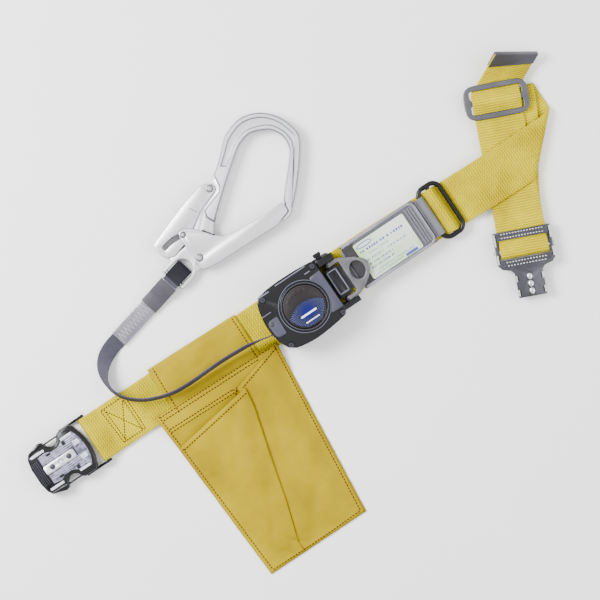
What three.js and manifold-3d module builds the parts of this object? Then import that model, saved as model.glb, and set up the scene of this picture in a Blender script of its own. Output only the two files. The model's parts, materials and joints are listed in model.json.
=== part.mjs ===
// Waist safety belt with a self retracting lanyard reel, laid out flat on its back.
// Millimetres. +X runs along the belt from the socket buckle to the tongue buckle,
// +Y points to the belt's upper edge and +Z points out of the reel's face.
// The origin is on the reel drum's axis, at the underside of the reel's back plate.
import * as THREE from 'three';
import { mergeVertices } from 'three/addons/utils/BufferGeometryUtils.js';
import Module from 'manifold-3d';

const wasm = await Module();
wasm.setup();

// ---------------------------------------------------------------- driving dimensions
const GAP = 0.3; // clearance between neighbouring pieces

const BELT_WIDTH = 50;
const BELT_THICK = 2;
const BELT_Y = 6.5; // middle of the belt beside the reel
const BELT_END_DRIFT = -4; // how far the belt wanders down beyond the absorber
const BELT_Z = 3.6; // middle of the belt's thickness behind the reel
const SEWN_LAYER_Z = 1.3; // the folded-back layer under the belt
const SEWN_END_X = -203;

const STRAP_WIDTH = 17; // lanyard webbing
const STRAP_THICK = 1.4;

const WEB_BAR = { x: -253, z: 6, r: 2.5 }; // bar that holds the belt in the socket buckle
const BUCKLE_Y = 6.5;

const RING = { left: 157.5, middle: 170.5, right: 182, z: 9.6, r: 2.5 }; // black belt ring

const FOLD_HIGH_Z = 10.7; // belt above the doubled strap
const FOLD_LOW_Z = 1.3; // belt under the doubled strap
const BACK_LAYER_Z = 5.3; // lower layer of the doubled strap
const FRONT_LAYER_Z = 8; // upper layer of the doubled strap

const TONGUE_ORIGIN = [225, -61]; // middle of the tongue buckle's rear crossbar
const TONGUE_TURN = -23; // degrees: the doubled strap leaves the belt at 67 degrees
const SLIDING_BAR = { y: -15, z: 7, r: 3, pin: 2, travel: 2.5 };
const SLIDE_Y = 139; // three-bar slide, measured along the doubled strap

const DRUM = { hub: 7, wound: 23, flange: 23.8, chamber: 24.6 };
const CASE = { low: 4.9, floor: 6.9, top: 32, cover: 35.3, face: 37.8 };
const SPRING_Z = [7.3, 11.8];
const DRUM_Z = [12.2, 31.8];
const FLANGE_THICK = 1;

const D_RING_AXIS = { x: 43, z: 20, r: 2.5 };

const HOOK_Z = 8.2; // middle of the hook's thickness
const HOOK = { crown: 6, web: 2.1, lever: [2.4, 4.4], gate: [4.7, 6.7] }; // half thicknesses
const GATE_PIVOT = [-61.5, 100.5];
const LEVER_PIVOT = [-14, 153.5];
const GATE_PIN = [-63, 129.5];
const PIN_R = 2.2;
const LEVER_RATIO = 0.15; // lever angle per gate angle
const EYE = { x: -82.5, y: 100.8, turn: 14 }; // strap eye of the hook, turned to the strap

// ---------------------------------------------------------------- colours
const YELLOW = { color: 0xd6c43c, roughness: 0.85, metalness: 0 };
const GOLD_VINYL = { color: 0xd2b42f, roughness: 0.5, metalness: 0 };
const BLACK = { color: 0x17171c, roughness: 0.45, metalness: 0 };
const SMOKE = { color: 0x7d7d8c, roughness: 0.3, metalness: 0.2 };
const STEEL = { color: 0x8c8c92, roughness: 0.35, metalness: 0.9 };
const DARK_STEEL = { color: 0x3c3c42, roughness: 0.4, metalness: 0.8 };
const ALUMINIUM = { color: 0xe2e2e6, roughness: 0.3, metalness: 0.9 };
const CHARCOAL = { color: 0x4a4a54, roughness: 0.85, metalness: 0 };
const CLEAR_GREY = { color: 0x9a9aa8, roughness: 0.2, metalness: 0 };
const LABEL_PALE = { color: 0xdfe8dc, roughness: 0.5, metalness: 0 };
const LABEL_BLUE = { color: 0x1d2aa8, roughness: 0.35, metalness: 0 };

// ---------------------------------------------------------------- solids
const model = new THREE.Group();

function toSolid(geometry) {
  geometry.deleteAttribute('normal');
  geometry.deleteAttribute('uv');
  const merged = mergeVertices(geometry, 1e-4);
  return new wasm.Manifold(new wasm.Mesh({
    numProp: 3,
    vertProperties: new Float32Array(merged.attributes.position.array),
    triVerts: new Uint32Array(merged.index.array),
  }));
}

function toGeometry(solid) {
  const mesh = solid.getMesh();
  const geometry = new THREE.BufferGeometry();
  geometry.setAttribute('position', new THREE.BufferAttribute(mesh.vertProperties, 3));
  geometry.setIndex(new THREE.BufferAttribute(mesh.triVerts, 1));
  geometry.computeVertexNormals();
  return geometry;
}

const join = (...solids) => solids.reduce((sum, solid) => sum.add(solid));
const cut = (solid, ...tools) => tools.reduce((left, tool) => left.subtract(tool), solid);

function addPart(name, solid, look, parent = model) {
  const mesh = new THREE.Mesh(toGeometry(solid), new THREE.MeshStandardMaterial(look));
  mesh.name = name;
  parent.add(mesh);
}

const asShape = (outline) => (
  outline instanceof THREE.Shape
    ? outline
    : new THREE.Shape(outline.map(([x, y]) => new THREE.Vector2(x, y)))
);

// A plate between two heights, with an optional rounded or chamfered rim and holes.
function plate(outline, low, high, { bevel = 0, steps = 1, holes = [], curve = 8 } = {}) {
  const shape = asShape(outline);
  shape.holes = holes.map(asShape);
  const geometry = new THREE.ExtrudeGeometry(shape, {
    depth: high - low - 2 * bevel,
    bevelEnabled: bevel > 0,
    bevelThickness: bevel,
    bevelSize: bevel,
    bevelOffset: -bevel,
    bevelSegments: steps,
    curveSegments: curve,
  });
  geometry.translate(0, 0, low + bevel);
  return toSolid(geometry);
}

// A profile in the X-Z plane, extruded along Y.
function barAlongY(profile, low, high) {
  const geometry = new THREE.ExtrudeGeometry(asShape(profile), {
    depth: high - low, bevelEnabled: false, curveSegments: 2,
  });
  geometry.rotateX(Math.PI / 2);
  geometry.translate(0, high, 0);
  return toSolid(geometry);
}

function block([x0, y0, z0], [x1, y1, z1]) {
  const geometry = new THREE.BoxGeometry(x1 - x0, y1 - y0, z1 - z0);
  geometry.translate((x0 + x1) / 2, (y0 + y1) / 2, (z0 + z1) / 2);
  return toSolid(geometry);
}

function rod(from, to, radius, sides = 16) {
  const start = new THREE.Vector3(...from);
  const axis = new THREE.Vector3(...to).sub(start);
  const geometry = new THREE.CylinderGeometry(radius, radius, axis.length(), sides);
  const turn = new THREE.Quaternion().setFromUnitVectors(
    new THREE.Vector3(0, 1, 0), axis.clone().normalize(),
  );
  geometry.applyQuaternion(turn);
  geometry.translate(...start.addScaledVector(axis, 0.5).toArray());
  return toSolid(geometry);
}

const pin = (x, y, low, high, radius, sides = 16) => rod([x, y, low], [x, y, high], radius, sides);

// A polygon whose corners are rounded.
function rounded(points, radius) {
  const corners = points.map(([x, y]) => new THREE.Vector2(x, y));
  const shape = new THREE.Shape();
  corners.forEach((corner, i) => {
    const before = corners[(i + corners.length - 1) % corners.length];
    const after = corners[(i + 1) % corners.length];
    const entry = approach(corner, before, radius);
    const exit = approach(corner, after, radius);
    if (i === 0) shape.moveTo(entry.x, entry.y);
    else shape.lineTo(entry.x, entry.y);
    shape.quadraticCurveTo(corner.x, corner.y, exit.x, exit.y);
  });
  shape.closePath();
  return shape;
}

function approach(corner, neighbour, distance) {
  const side = neighbour.clone().sub(corner);
  const length = Math.min(distance, side.length() * 0.48);
  return side.setLength(length).add(corner);
}

const rectangle = (x0, y0, x1, y1) => [[x0, y0], [x1, y0], [x1, y1], [x0, y1]];

function circle(x, y, radius) {
  const shape = new THREE.Shape();
  shape.absarc(x, y, radius, 0, 2 * Math.PI);
  return shape;
}

function ellipse(x, y, rx, ry, sides) {
  return Array.from({ length: sides }, (_, i) => {
    const angle = 2 * Math.PI * i / sides;
    return [x + rx * Math.cos(angle), y + ry * Math.sin(angle)];
  });
}

// Turns a solid into the buckle-strap frame or any other turned frame.
const turned = (solid, degrees, [x, y]) => solid.rotate([0, 0, degrees]).translate([x, y, 0]);

// ---------------------------------------------------------------- webbing
// A strip of webbing. Each station is a straight line across it, from its left edge to
// its right edge as it is followed, with the direction its face looks in.
function webbing(stations, thickness) {
  const positions = [];
  for (const { left, right, normal } of stations) {
    const half = normal.clone().multiplyScalar(thickness / 2);
    const corners = [
      left.clone().add(half), right.clone().add(half),
      right.clone().sub(half), left.clone().sub(half),
    ];
    corners.forEach((corner) => positions.push(...corner.toArray()));
  }
  const index = [0, 3, 2, 0, 2, 1];
  for (let i = 0; i < stations.length - 1; i += 1) {
    for (let k = 0; k < 4; k += 1) {
      const a = 4 * i + k;
      const b = 4 * i + ((k + 1) % 4);
      index.push(a, b, b + 4, a, b + 4, a + 4);
    }
  }
  const last = 4 * (stations.length - 1);
  index.push(last, last + 1, last + 2, last, last + 2, last + 3);
  const geometry = new THREE.BufferGeometry();
  geometry.setAttribute('position', new THREE.Float32BufferAttribute(positions, 3));
  geometry.setIndex(index);
  return toSolid(geometry);
}

// The route of a taut strip over round stops, in its own (along, up) plane. A stop is
// [along, up, radius]: the radius is positive where the route turns left around it,
// negative where it turns right, and 0 at a plain point.
function tautRoute(stops, { step = 22, span = 14 } = {}) {
  const headings = stops.slice(1).map(([s1, z1, r1], i) => {
    const [s0, z0, r0] = stops[i];
    const distance = Math.hypot(s1 - s0, z1 - z0);
    return Math.atan2(z1 - z0, s1 - s0) - Math.asin((r1 - r0) / distance);
  });
  const route = [];
  const place = ([s, z, r], heading) => ({
    s: s + r * Math.sin(heading), z: z - r * Math.cos(heading), heading,
  });
  stops.forEach((stop, i) => {
    const entry = headings[Math.max(i - 1, 0)];
    const exit = headings[Math.min(i, headings.length - 1)];
    route.push(place(stop, entry));
    if (stop[2] !== 0) {
      const sense = Math.sign(stop[2]);
      const full = 2 * Math.PI;
      const sweep = (((exit - entry) * sense) % full + full) % full;
      const count = Math.ceil(sweep / THREE.MathUtils.degToRad(step));
      for (let k = 1; k <= count; k += 1) route.push(place(stop, entry + sense * sweep * k / count));
    }
    if (i === stops.length - 1) return;
    const from = route[route.length - 1];
    const to = place(stops[i + 1], exit);
    const count = Math.ceil(Math.hypot(to.s - from.s, to.z - from.z) / span);
    for (let k = 1; k < count; k += 1) {
      const share = k / count;
      route.push({
        s: from.s + (to.s - from.s) * share, z: from.z + (to.z - from.z) * share, heading: exit,
      });
    }
  });
  return route;
}

const UP = new THREE.Vector3(0, 0, 1);

// Stations of a strip that follows a flat route. `at` turns (across, along, up) into a
// point, and `middle` gives how far the strip's middle has wandered sideways.
function stationsAlong(route, width, at, middle = () => 0) {
  const along = at(0, 1, 0).sub(at(0, 0, 0));
  return route.map(({ s, z, heading }) => ({
    left: at(middle(s) - width / 2, s, z),
    right: at(middle(s) + width / 2, s, z),
    normal: along.clone().multiplyScalar(-Math.sin(heading)).addScaledVector(UP, Math.cos(heading)),
  }));
}

const smooth = (value, from, to) => THREE.MathUtils.smoothstep(value, from, to);

// ---------------------------------------------------------------- belt
// "Across" runs to the right of the direction of travel, so left is the belt's top edge.
const beltPoint = (across, along, up) => new THREE.Vector3(along, BELT_Y - across, up);
const beltWander = (x) => -BELT_END_DRIFT * smooth(x, 90, 250);

// The doubled strap's own frame: x across it, y up along it from the tongue buckle.
function strapPoint(x, y, z) {
  const turn = THREE.MathUtils.degToRad(TONGUE_TURN);
  return new THREE.Vector3(
    TONGUE_ORIGIN[0] + x * Math.cos(turn) - y * Math.sin(turn),
    TONGUE_ORIGIN[1] + x * Math.sin(turn) + y * Math.cos(turn),
    z,
  );
}

function mainBeltStations() {
  const aroundBar = WEB_BAR.r + GAP + BELT_THICK / 2;
  const aroundRing = RING.r + 0.4 + BELT_THICK / 2;
  const underRing = RING.z - BELT_Z;
  const easy = 12;
  const crest = 20;
  const route = tautRoute([
    [SEWN_END_X, SEWN_LAYER_Z, 0],
    [-236, SEWN_LAYER_Z, 0],
    [WEB_BAR.x, WEB_BAR.z, -aroundBar],
    [-234, BELT_Z + easy, easy],
    [RING.left, RING.z, underRing],
    [RING.middle, RING.z, -aroundRing],
    [RING.right, RING.z, underRing],
    [214, FOLD_HIGH_Z - crest, -crest],
    [252, FOLD_HIGH_Z, 0],
  ]);
  return stationsAlong(route, BELT_WIDTH, beltPoint, beltWander);
}

// A soft fold of a flat strip over a slanting line. `edges(reach)` gives the two edge
// points of the flat strip on the line that lies `reach` along the fold's outward
// direction. The strip starts at height `from` and comes back at height `to`.
function foldStations({ outward, start, edges, from, to }) {
  const radius = Math.abs(to - from) / 2;
  const rise = Math.sign(to - from);
  const steps = 8;
  const stations = [];
  for (let k = 0; k <= steps; k += 1) {
    const bend = Math.PI * k / steps;
    const reach = start + radius * bend;
    const shift = start + radius * Math.sin(bend) - reach;
    const height = from + rise * radius * (1 - Math.cos(bend));
    const [left, right] = edges(reach).map(
      ([x, y]) => new THREE.Vector3(x + outward[0] * shift, y + outward[1] * shift, height),
    );
    const normal = new THREE.Vector3(
      outward[0] * Math.sin(bend), outward[1] * Math.sin(bend), -rise * Math.cos(bend),
    );
    stations.push({ left, right, normal });
  }
  return stations;
}

function curlStations() {
  const half = BELT_WIDTH / 2;
  const y = BELT_Y + BELT_END_DRIFT;
  const diagonal = Math.SQRT1_2;
  const firstFold = foldStations({
    outward: [diagonal, -diagonal],
    start: 200,
    edges: (reach) => [[reach / diagonal + y + half, y + half], [reach / diagonal + y - half, y - half]],
    from: FOLD_HIGH_Z,
    to: FOLD_LOW_Z,
  });
  const rising = firstFold[firstFold.length - 1];
  const facing = THREE.MathUtils.degToRad(90 + TONGUE_TURN / 2);
  const outward = [Math.cos(facing), Math.sin(facing)];
  const onLine = (x, reach) => [x, (reach - outward[0] * x) / outward[1]];
  const secondFold = foldStations({
    outward,
    start: 121,
    edges: (reach) => [onLine(rising.left.x, reach), onLine(rising.right.x, reach)],
    from: FOLD_LOW_Z,
    to: BACK_LAYER_Z,
  });
  return [...firstFold, ...secondFold];
}

// The doubled strap: under the crossbar, around the sliding bar and back up over the slide.
function doubledStrapStations(firstLine) {
  const backwards = new THREE.Vector3(...TONGUE_ORIGIN, 0);
  const turn = THREE.MathUtils.degToRad(TONGUE_TURN);
  const acrossOf = (point) => {
    const offset = point.clone().sub(backwards);
    return offset.x * Math.cos(turn) + offset.y * Math.sin(turn);
  };
  const alongOf = (point) => {
    const offset = point.clone().sub(backwards);
    return offset.y * Math.cos(turn) - offset.x * Math.sin(turn);
  };
  const startAcross = (acrossOf(firstLine.left) + acrossOf(firstLine.right)) / 2;
  const startAlong = Math.min(alongOf(firstLine.left), alongOf(firstLine.right)) - 2;
  const aroundBar = SLIDING_BAR.r + GAP + BELT_THICK / 2;
  const loopEnd = -SLIDING_BAR.y + SLIDING_BAR.travel;
  const bar = SLIDING_BAR.z;
  const slide = slideLevels();
  const route = tautRoute([
    [-startAlong, BACK_LAYER_Z, 0],
    [-8, BACK_LAYER_Z, 0],
    [loopEnd, bar, aroundBar],
    [loopEnd - 3, bar, aroundBar],
    [3.5, FRONT_LAYER_Z + 10, -10],
    [-SLIDE_Y + slide.bend, FRONT_LAYER_Z + slide.underR, -slide.underR],
    [-SLIDE_Y, slide.low, slide.overR],
    [-SLIDE_Y - slide.bend, FRONT_LAYER_Z + slide.underR, -slide.underR],
    [-SLIDE_Y - 16, FRONT_LAYER_Z, 0],
  ]);
  const downStrap = (across, along, up) => strapPoint(-across, -along, up);
  const stations = stationsAlong(route, BELT_WIDTH, downStrap);
  const loop = stations.findIndex((station) => station.normal.z < 0);
  stations.forEach((station, i) => {
    const along = alongOf(station.left);
    const drift = i < loop
      ? startAcross * smooth(along, 20, startAlong)
      : 9 * smooth(along, SLIDE_Y + 9, SLIDE_Y + 20);
    const shift = strapPoint(drift, 0, 0).sub(strapPoint(0, 0, 0));
    station.left.add(shift);
    station.right.add(shift);
  });
  return stations;
}

function slideLevels() {
  const low = FRONT_LAYER_Z + BELT_THICK / 2 + 0.4;
  return { low, high: low + 2, bend: 12.3, underR: 2.9, overR: 4.6 };
}

// The free end: its left corner curls up while its right corner stays low.
const TAIL_END = { left: [301, 105.5, 30], right: [339.5, 82.5, 11.5] };
const TAIL_FLAT_FROM = 0.6; // share of the tail's length where its bend ends

function tailLine(lastLine, share) {
  const bent = TAIL_FLAT_FROM;
  const lift = share < bent ? share ** 2 / (bent * (2 - bent)) : (2 * share - bent) / (2 - bent);
  // The strip is followed upwards here, face up, so its left edge is the tail's left.
  const edge = (from, [x, y, z]) => new THREE.Vector3(
    THREE.MathUtils.lerp(from.x, x, share),
    THREE.MathUtils.lerp(from.y, y, share),
    THREE.MathUtils.lerp(from.z, z, lift),
  );
  return { left: edge(lastLine.right, TAIL_END.left), right: edge(lastLine.left, TAIL_END.right) };
}

function tailStations(lastLine, shares, spread = 0) {
  return shares.map((share) => {
    const here = tailLine(lastLine, share);
    const next = tailLine(lastLine, share + 0.02);
    const travel = next.left.clone().add(next.right).sub(here.left).sub(here.right);
    const across = here.right.clone().sub(here.left);
    const normal = travel.cross(across).normalize();
    const wider = across.setLength(spread);
    return { left: here.right.add(wider), right: here.left.sub(wider), normal };
  });
}

function makeBelt() {
  const main = mainBeltStations();
  const curl = curlStations();
  const doubled = doubledStrapStations(curl[curl.length - 1]);
  const lastLine = doubled[doubled.length - 1];
  const tail = tailStations(lastLine, [0.15, 0.3, 0.45, TAIL_FLAT_FROM, 0.8, 1]);
  addPart('waist_belt', webbing([...main, ...curl, ...doubled, ...tail], BELT_THICK), YELLOW);
  makeTipClip(lastLine);
}

function makeTipClip(lastLine) {
  const outer = webbing(tailStations(lastLine, [TAIL_FLAT_FROM + 0.06, 0.8, 1, 1.06]), 4.8);
  const inner = webbing(tailStations(lastLine, [TAIL_FLAT_FROM, 0.8, 1, 1.02], 3), BELT_THICK + 0.8);
  addPart('belt_tip_clip', cut(outer, inner), STEEL);
}

// ---------------------------------------------------------------- belt ring and slide
function makeBeltRing() {
  const half = RING.r;
  const outer = rounded(rectangle(RING.left - half, -26, RING.right + half, 36), 11);
  const window = (from, to) => rounded(rectangle(from + half, -21.2, to - half, 31), 1.5);
  const windows = [window(RING.left, RING.middle), window(RING.middle, RING.right)];
  const options = { bevel: 1.5, holes: windows, curve: 3 };
  addPart('belt_ring', plate(outer, RING.z - half, RING.z + half, options), BLACK);
}

function makeTailSlide() {
  const { low, high } = slideLevels();
  const outer = rounded(rectangle(-33.5, -18, 33.5, 18), 13);
  const window = (side) => rounded(rectangle(-26.8, side * 2.5, 26.8, side * 12.2), 3);
  const options = { bevel: 0.5, holes: [window(1), window(-1)], curve: 4 };
  const slide = plate(outer, low, high, options).translate([0, SLIDE_Y, 0]);
  addPart('tail_slide', turned(slide, TONGUE_TURN, TONGUE_ORIGIN), STEEL);
}

// ---------------------------------------------------------------- tongue buckle
const TONGUE = { low: 9.4, high: 11.4, half: 29.5, wall: 2, end: -64.5, width: 14.5 };

function tongueOutline() {
  const { half, width, end } = TONGUE;
  const side = (sign) => [
    [sign * half, 5], [sign * half, -29], [sign * 26, -33], [sign * (width + 3), -35.5],
    [sign * width, -39], [sign * width, end],
  ];
  return [...side(1), ...side(-1).reverse()];
}

function makeTongueBuckle() {
  const { low, high, half, wall, end, width } = TONGUE;
  const window = rectangle(-26.5, -24, 26.5, -3.5);
  const ridges = [2.8, -1.2, -26.4, -30].map(
    (y) => plate(rectangle(-24, y - 0.6, 24, y + 0.6), high - 0.5, high + 0.5),
  );
  const frame = plate(tongueOutline(), low, high, { holes: [window] });
  const flanges = [-1, 1].map((side) => {
    const inner = side > 0 ? half - wall : -half;
    const flange = block([inner, -29, 0.6], [inner + wall, 5, low + 0.5]);
    const slot = block([inner - 1, -20, 4.7], [inner + wall + 1, -12.5, 9.3]);
    return flange.subtract(slot);
  });
  const lips = [-1, 1].map((side) => {
    const inner = side > 0 ? width - 1.6 : -width;
    const lip = block([inner, end, low - 2.4], [inner + 1.6, -38.5, low + 0.5]);
    return lip.subtract(block([inner - 1, -55, low - 4], [inner + 3, -49, low]));
  });
  const bosses = [-44, -51.5, -59].map(
    (y) => plate(ellipse(0, y, 3.2, 4.4, 16), high - 0.5, high + 0.7, { bevel: 0.4 }),
  );
  const solid = join(frame, ...flanges, ...lips, ...bosses, ...ridges);
  addPart('tongue_plate', turned(solid, TONGUE_TURN, TONGUE_ORIGIN), STEEL);

  const { y, z, r, pin: endR } = SLIDING_BAR;
  const bar = join(
    rod([-26.2, y, z], [26.2, y, z], r),
    rod([-31.5, y, z], [31.5, y, z], endR, 12),
  );
  addPart('sliding_bar', turned(bar, TONGUE_TURN, TONGUE_ORIGIN), STEEL);
}

// ---------------------------------------------------------------- socket buckle
// Outlines are given for the upper half, as [x, distance from the belt's middle line].
const mirrored = (half) => [
  ...half.map(([x, y]) => [x, BUCKLE_Y + y]),
  ...half.slice().reverse().map(([x, y]) => [x, BUCKLE_Y - y]),
];
const mirrorSide = (side, points) => points.map(([x, y]) => [x, BUCKLE_Y + side * y]);

const BUCKLE_HALF = [
  [-324, 9], [-322, 19], [-318.5, 24], [-311, 26], [-305, 28], [-301, 27],
  [-298.5, 21.5], [-295, 18], [-290, 17.5], [-286.5, 19.5], [-284, 24.5],
  [-281, 26.5], [-268, 26.5], [-265, 24], [-261.5, 14], [-260, 5],
];
const LATCH_HALF = [
  [-317, 20.6], [-305, 20.8], [-300, 24.6], [-284, 24.6], [-279, 20.6], [-271, 20.6],
  [-271, 17.6], [-281, 17.6], [-285.5, 22.9], [-298.5, 22.9], [-303, 17.4],
  [-311, 17.4], [-313, 15.6], [-317, 15.6],
];
const LATCH_PIVOT = [-307, 19.1];
const ARM_PROFILE = [[-280, 1], [-256, 1.5], [-250.5, 3.5], [-249.3, 6], [-250.5, 8.8], [-253, 9.6],
  [-258, 9.4], [-263.5, 4.9], [-280, 4.9]];
const BUCKLE_Z = { low: 0.4, base: 5, cover: 5.3, roof: 10, top: 14 };

function makeBuckleBase() {
  const { low, base } = BUCKLE_Z;
  const tray = plate(mirrored(BUCKLE_HALF), low, base, { bevel: 0.8 });
  const stop = block([-291, BUCKLE_Y - 10.5, base - 0.5], [-268, BUCKLE_Y + 10.5, 9.7]);
  const pivots = [1, -1].map((side) => {
    const [[x, y]] = mirrorSide(side, [LATCH_PIVOT]);
    return pin(x, y, base - 0.5, 9.6, 1.1, 10);
  });
  const arms = [1, -1].map((side) => {
    const [[, y0], [, y1]] = mirrorSide(side, [[0, 25.4], [0, 28]]);
    const profile = rounded(ARM_PROFILE, 1.5);
    const arm = barAlongY(profile, Math.min(y0, y1), Math.max(y0, y1));
    const [[, h0], [, h1]] = mirrorSide(side, [[0, 24], [0, 29]]);
    return arm.subtract(rod([WEB_BAR.x, h0, WEB_BAR.z], [WEB_BAR.x, h1, WEB_BAR.z], WEB_BAR.r));
  });
  addPart('buckle_base', join(tray, stop, ...pivots, ...arms), BLACK);
}

function makeBuckleCover() {
  const { cover, roof, top } = BUCKLE_Z;
  const shell = plate(mirrored(BUCKLE_HALF), cover, top, { bevel: 1.6, steps: 2 });
  const socket = block([-330, BUCKLE_Y - 15.3, cover - 1], [-291.5, BUCKLE_Y + 15.3, roof]);
  const rear = block([-292, BUCKLE_Y - 21.4, cover - 1], [-268, BUCKLE_Y + 21.4, roof]);
  const pockets = [1, -1].map((side) => {
    const [[, y0], [, y1]] = mirrorSide(side, [[0, 15], [0, 22.6]]);
    return block([-319, Math.min(y0, y1), cover - 1], [-290, Math.max(y0, y1), roof]);
  });
  const rivetHoles = [-304, -284].map((x) => pin(x, BUCKLE_Y, roof - 1, top + 1, 1.8, 12));
  const slots = [1, -1].map((side) => {
    const [[, y0], [, y1]] = mirrorSide(side, [[0, 21], [0, 25.4]]);
    return block([-304, Math.min(y0, y1), cover - 1], [-278.5, Math.max(y0, y1), roof]);
  });
  const thumbDips = [1, -1].map((side) => {
    const outline = mirrorSide(side, [[-319, 21], [-301, 21], [-303, 25.5], [-317, 23.8]]);
    return plate(side > 0 ? outline : outline.reverse(), top - 1, top + 1);
  });
  const solid = cut(shell, socket, rear, ...pockets, ...rivetHoles, ...slots, ...thumbDips);
  addPart('buckle_cover', solid, SMOKE);
}

function makeBuckle() {
  makeBuckleBase();
  makeBuckleCover();
  const top = BUCKLE_Z.top + GAP;
  const holes = [-304, -284].map((x) => circle(x, BUCKLE_Y, 1.8));
  const outline = rounded(rectangle(-313, BUCKLE_Y - 4.6, -277, BUCKLE_Y + 4.6), 2);
  addPart('buckle_centre_plate', plate(outline, top, top + 1, { holes, curve: 3 }), ALUMINIUM);
  [-304, -284].forEach((x, i) => {
    const shank = pin(x, BUCKLE_Y, BUCKLE_Z.roof + 0.3, top + 1.5, 1.5, 12);
    const head = pin(x, BUCKLE_Y, top + 1.3, top + 2, 2.8, 16);
    addPart(`buckle_rivet_${i + 1}`, join(shank, head), STEEL);
  });
  const barEnds = [-28.6, 28.6].map((y) => [WEB_BAR.x, BUCKLE_Y + y, WEB_BAR.z]);
  addPart('buckle_web_bar', rod(barEnds[0], barEnds[1], WEB_BAR.r - GAP), STEEL);
  [['upper', 1], ['lower', -1]].forEach(([name, side]) => {
    const outline = mirrorSide(side, LATCH_HALF);
    const arm = plate(side > 0 ? outline : outline.reverse(), 5.4, 9.6);
    const [[x, y]] = mirrorSide(side, [LATCH_PIVOT]);
    const boss = pin(x, y, 5.4, 9.6, 2.6, 14);
    const bore = pin(x, y, 5, 10, 1.4, 10);
    addPart(`buckle_latch_${name}`, join(arm, boss).subtract(bore), BLACK);
    const [[, from]] = mirrorSide(side, [[0, 10.8]]);
    const coil = spring(1.9, 0.35, 6.4, 4, 6).rotate([-90 * side, 0, 0]).translate([-275, from, 7.5]);
    addPart(`buckle_spring_${name}`, coil, STEEL);
  });
}

// A coil spring that stands on the X-Y plane.
function spring(radius, wire, height, turns, sides) {
  const perTurn = 8;
  const points = [];
  for (let i = 0; i <= turns * perTurn; i += 1) {
    const angle = 2 * Math.PI * i / perTurn;
    const lift = wire + (height - 2 * wire) * i / (turns * perTurn);
    points.push(new THREE.Vector3(radius * Math.cos(angle), radius * Math.sin(angle), lift));
  }
  const geometry = new THREE.ExtrudeGeometry(circle(0, 0, wire), {
    extrudePath: new THREE.CatmullRomCurve3(points),
    steps: turns * perTurn,
    curveSegments: sides / 2,
    bevelEnabled: false,
  });
  return toSolid(geometry);
}

// ---------------------------------------------------------------- reel
const CASE_OUTLINE = [
  [-38, 31], [-30, 34.8], [-17, 36.3], [0, 36.5], [16, 35.9], [33.6, 34],
  [33.6, -29.2], [15, -32.2], [-5, -34], [-20, -33], [-34, -29.5], [-39.5, -21],
  [-42.5, -13], [-44, 0], [-43, 14], [-40.5, 25],
];
const EXIT = { y: -5.5, z: 22 }; // where the strap leaves the case
const BLOCK_X = [34, 52];
const EAR_Y = [[24.2, 31.5], [-26.5, -20.8]];
const LOCK_BUTTON = { x0: 34.5, x1: 43, travel: 2 };
const SCREWS = [[-33, -25], [29, -26.5], [28.5, 29.5], [-32, 28.5]];

function makeCase() {
  const { low, floor, top } = CASE;
  const shell = plate(rounded(CASE_OUTLINE, 4), low, top, { curve: 1 });
  const chamber = pin(0, 0, floor, top + 1, DRUM.chamber + 0.1, 36);
  const mouth = block([-50, EXIT.y - 4, EXIT.z - 9.5], [-18, EXIT.y + 4, top + 1]);
  const skirts = [[32.4, 34.4], [-22.5, -19.4]].map(
    ([y0, y1]) => block([-30, y0, 2.3], [33.6, y1, low + 1]),
  );
  const ears = EAR_Y.map(([y0, y1]) => {
    const ear = block([33, y0, low], [BLOCK_X[1], y1, 25]);
    return ear.subtract(rod([43, y0 - 1, 20], [43, y1 + 1, 20], D_RING_AXIS.r));
  });
  const [earLow, earHigh] = EAR_Y[0];
  const guide = join(
    block([32, earLow, 24], [45, earHigh, top]),
    block([34, earLow, top - 1], [45, earHigh, 36]),
  );
  const stemHole = block([LOCK_BUTTON.x0 + 1.2, 22, 28.2], [LOCK_BUTTON.x1 - 1.2, 35, 33.8]);
  const screwHoles = SCREWS.map(([x, y]) => pin(x, y, 22, top + 1, 1.7, 10));
  const solid = cut(join(shell, ...skirts, ...ears, guide), chamber, mouth, stemHole, ...screwHoles);
  addPart('reel_case', solid, BLACK);
}

function makeReelCover() {
  const { top, cover, face } = CASE;
  const outline = rounded(CASE_OUTLINE, 4);
  const lid = plate(outline, top + GAP, cover, { bevel: 1, curve: 1 });
  const rim = plate(circle(0, 0, 26.5), cover - 1, face, { bevel: 1.2, curve: 18 });
  const recess = pin(0, 0, cover + 0.2, face + 1, 22.6, 36);
  const shaftBore = pin(0, 0, top, cover + 1, 3.3, 16);
  const screwHoles = SCREWS.map(([x, y]) => pin(x, y, top, cover + 1, 1.9, 10));
  const guideScrew = pin(-38, 3, top, cover + 1, 1.3, 10);
  const solid = cut(join(lid, rim), recess, shaftBore, guideScrew, ...screwHoles);
  addPart('reel_cover', solid, BLACK);
  addPart('cover_disc', discWithPocket(cover + 0.5), DARK_STEEL);
  addPart('face_label', plate(lensOutline(), cover + 1.4, cover + 1.8, { curve: 10 }), LABEL_BLUE);
}

function lensOutline() {
  const shape = new THREE.Shape();
  shape.moveTo(-20.4, -3.5);
  shape.quadraticCurveTo(0, 13.5, 20.4, -3.5);
  shape.quadraticCurveTo(14, -20.8, 0, -20.8);
  shape.quadraticCurveTo(-14, -20.8, -20.4, -3.5);
  return shape;
}

// The decorated disc: a flat plate with a shallow lens-shaped pocket for the label.
function discWithPocket(low) {
  const disc = plate(circle(0, 0, 22.2), low, low + 1.6, { bevel: 0.4, curve: 16 });
  const pocket = plate(lensOutline(), low + 0.6, low + 3, { curve: 10 }).scale([1.02, 1.02, 1]);
  return disc.subtract(pocket);
}

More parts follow.
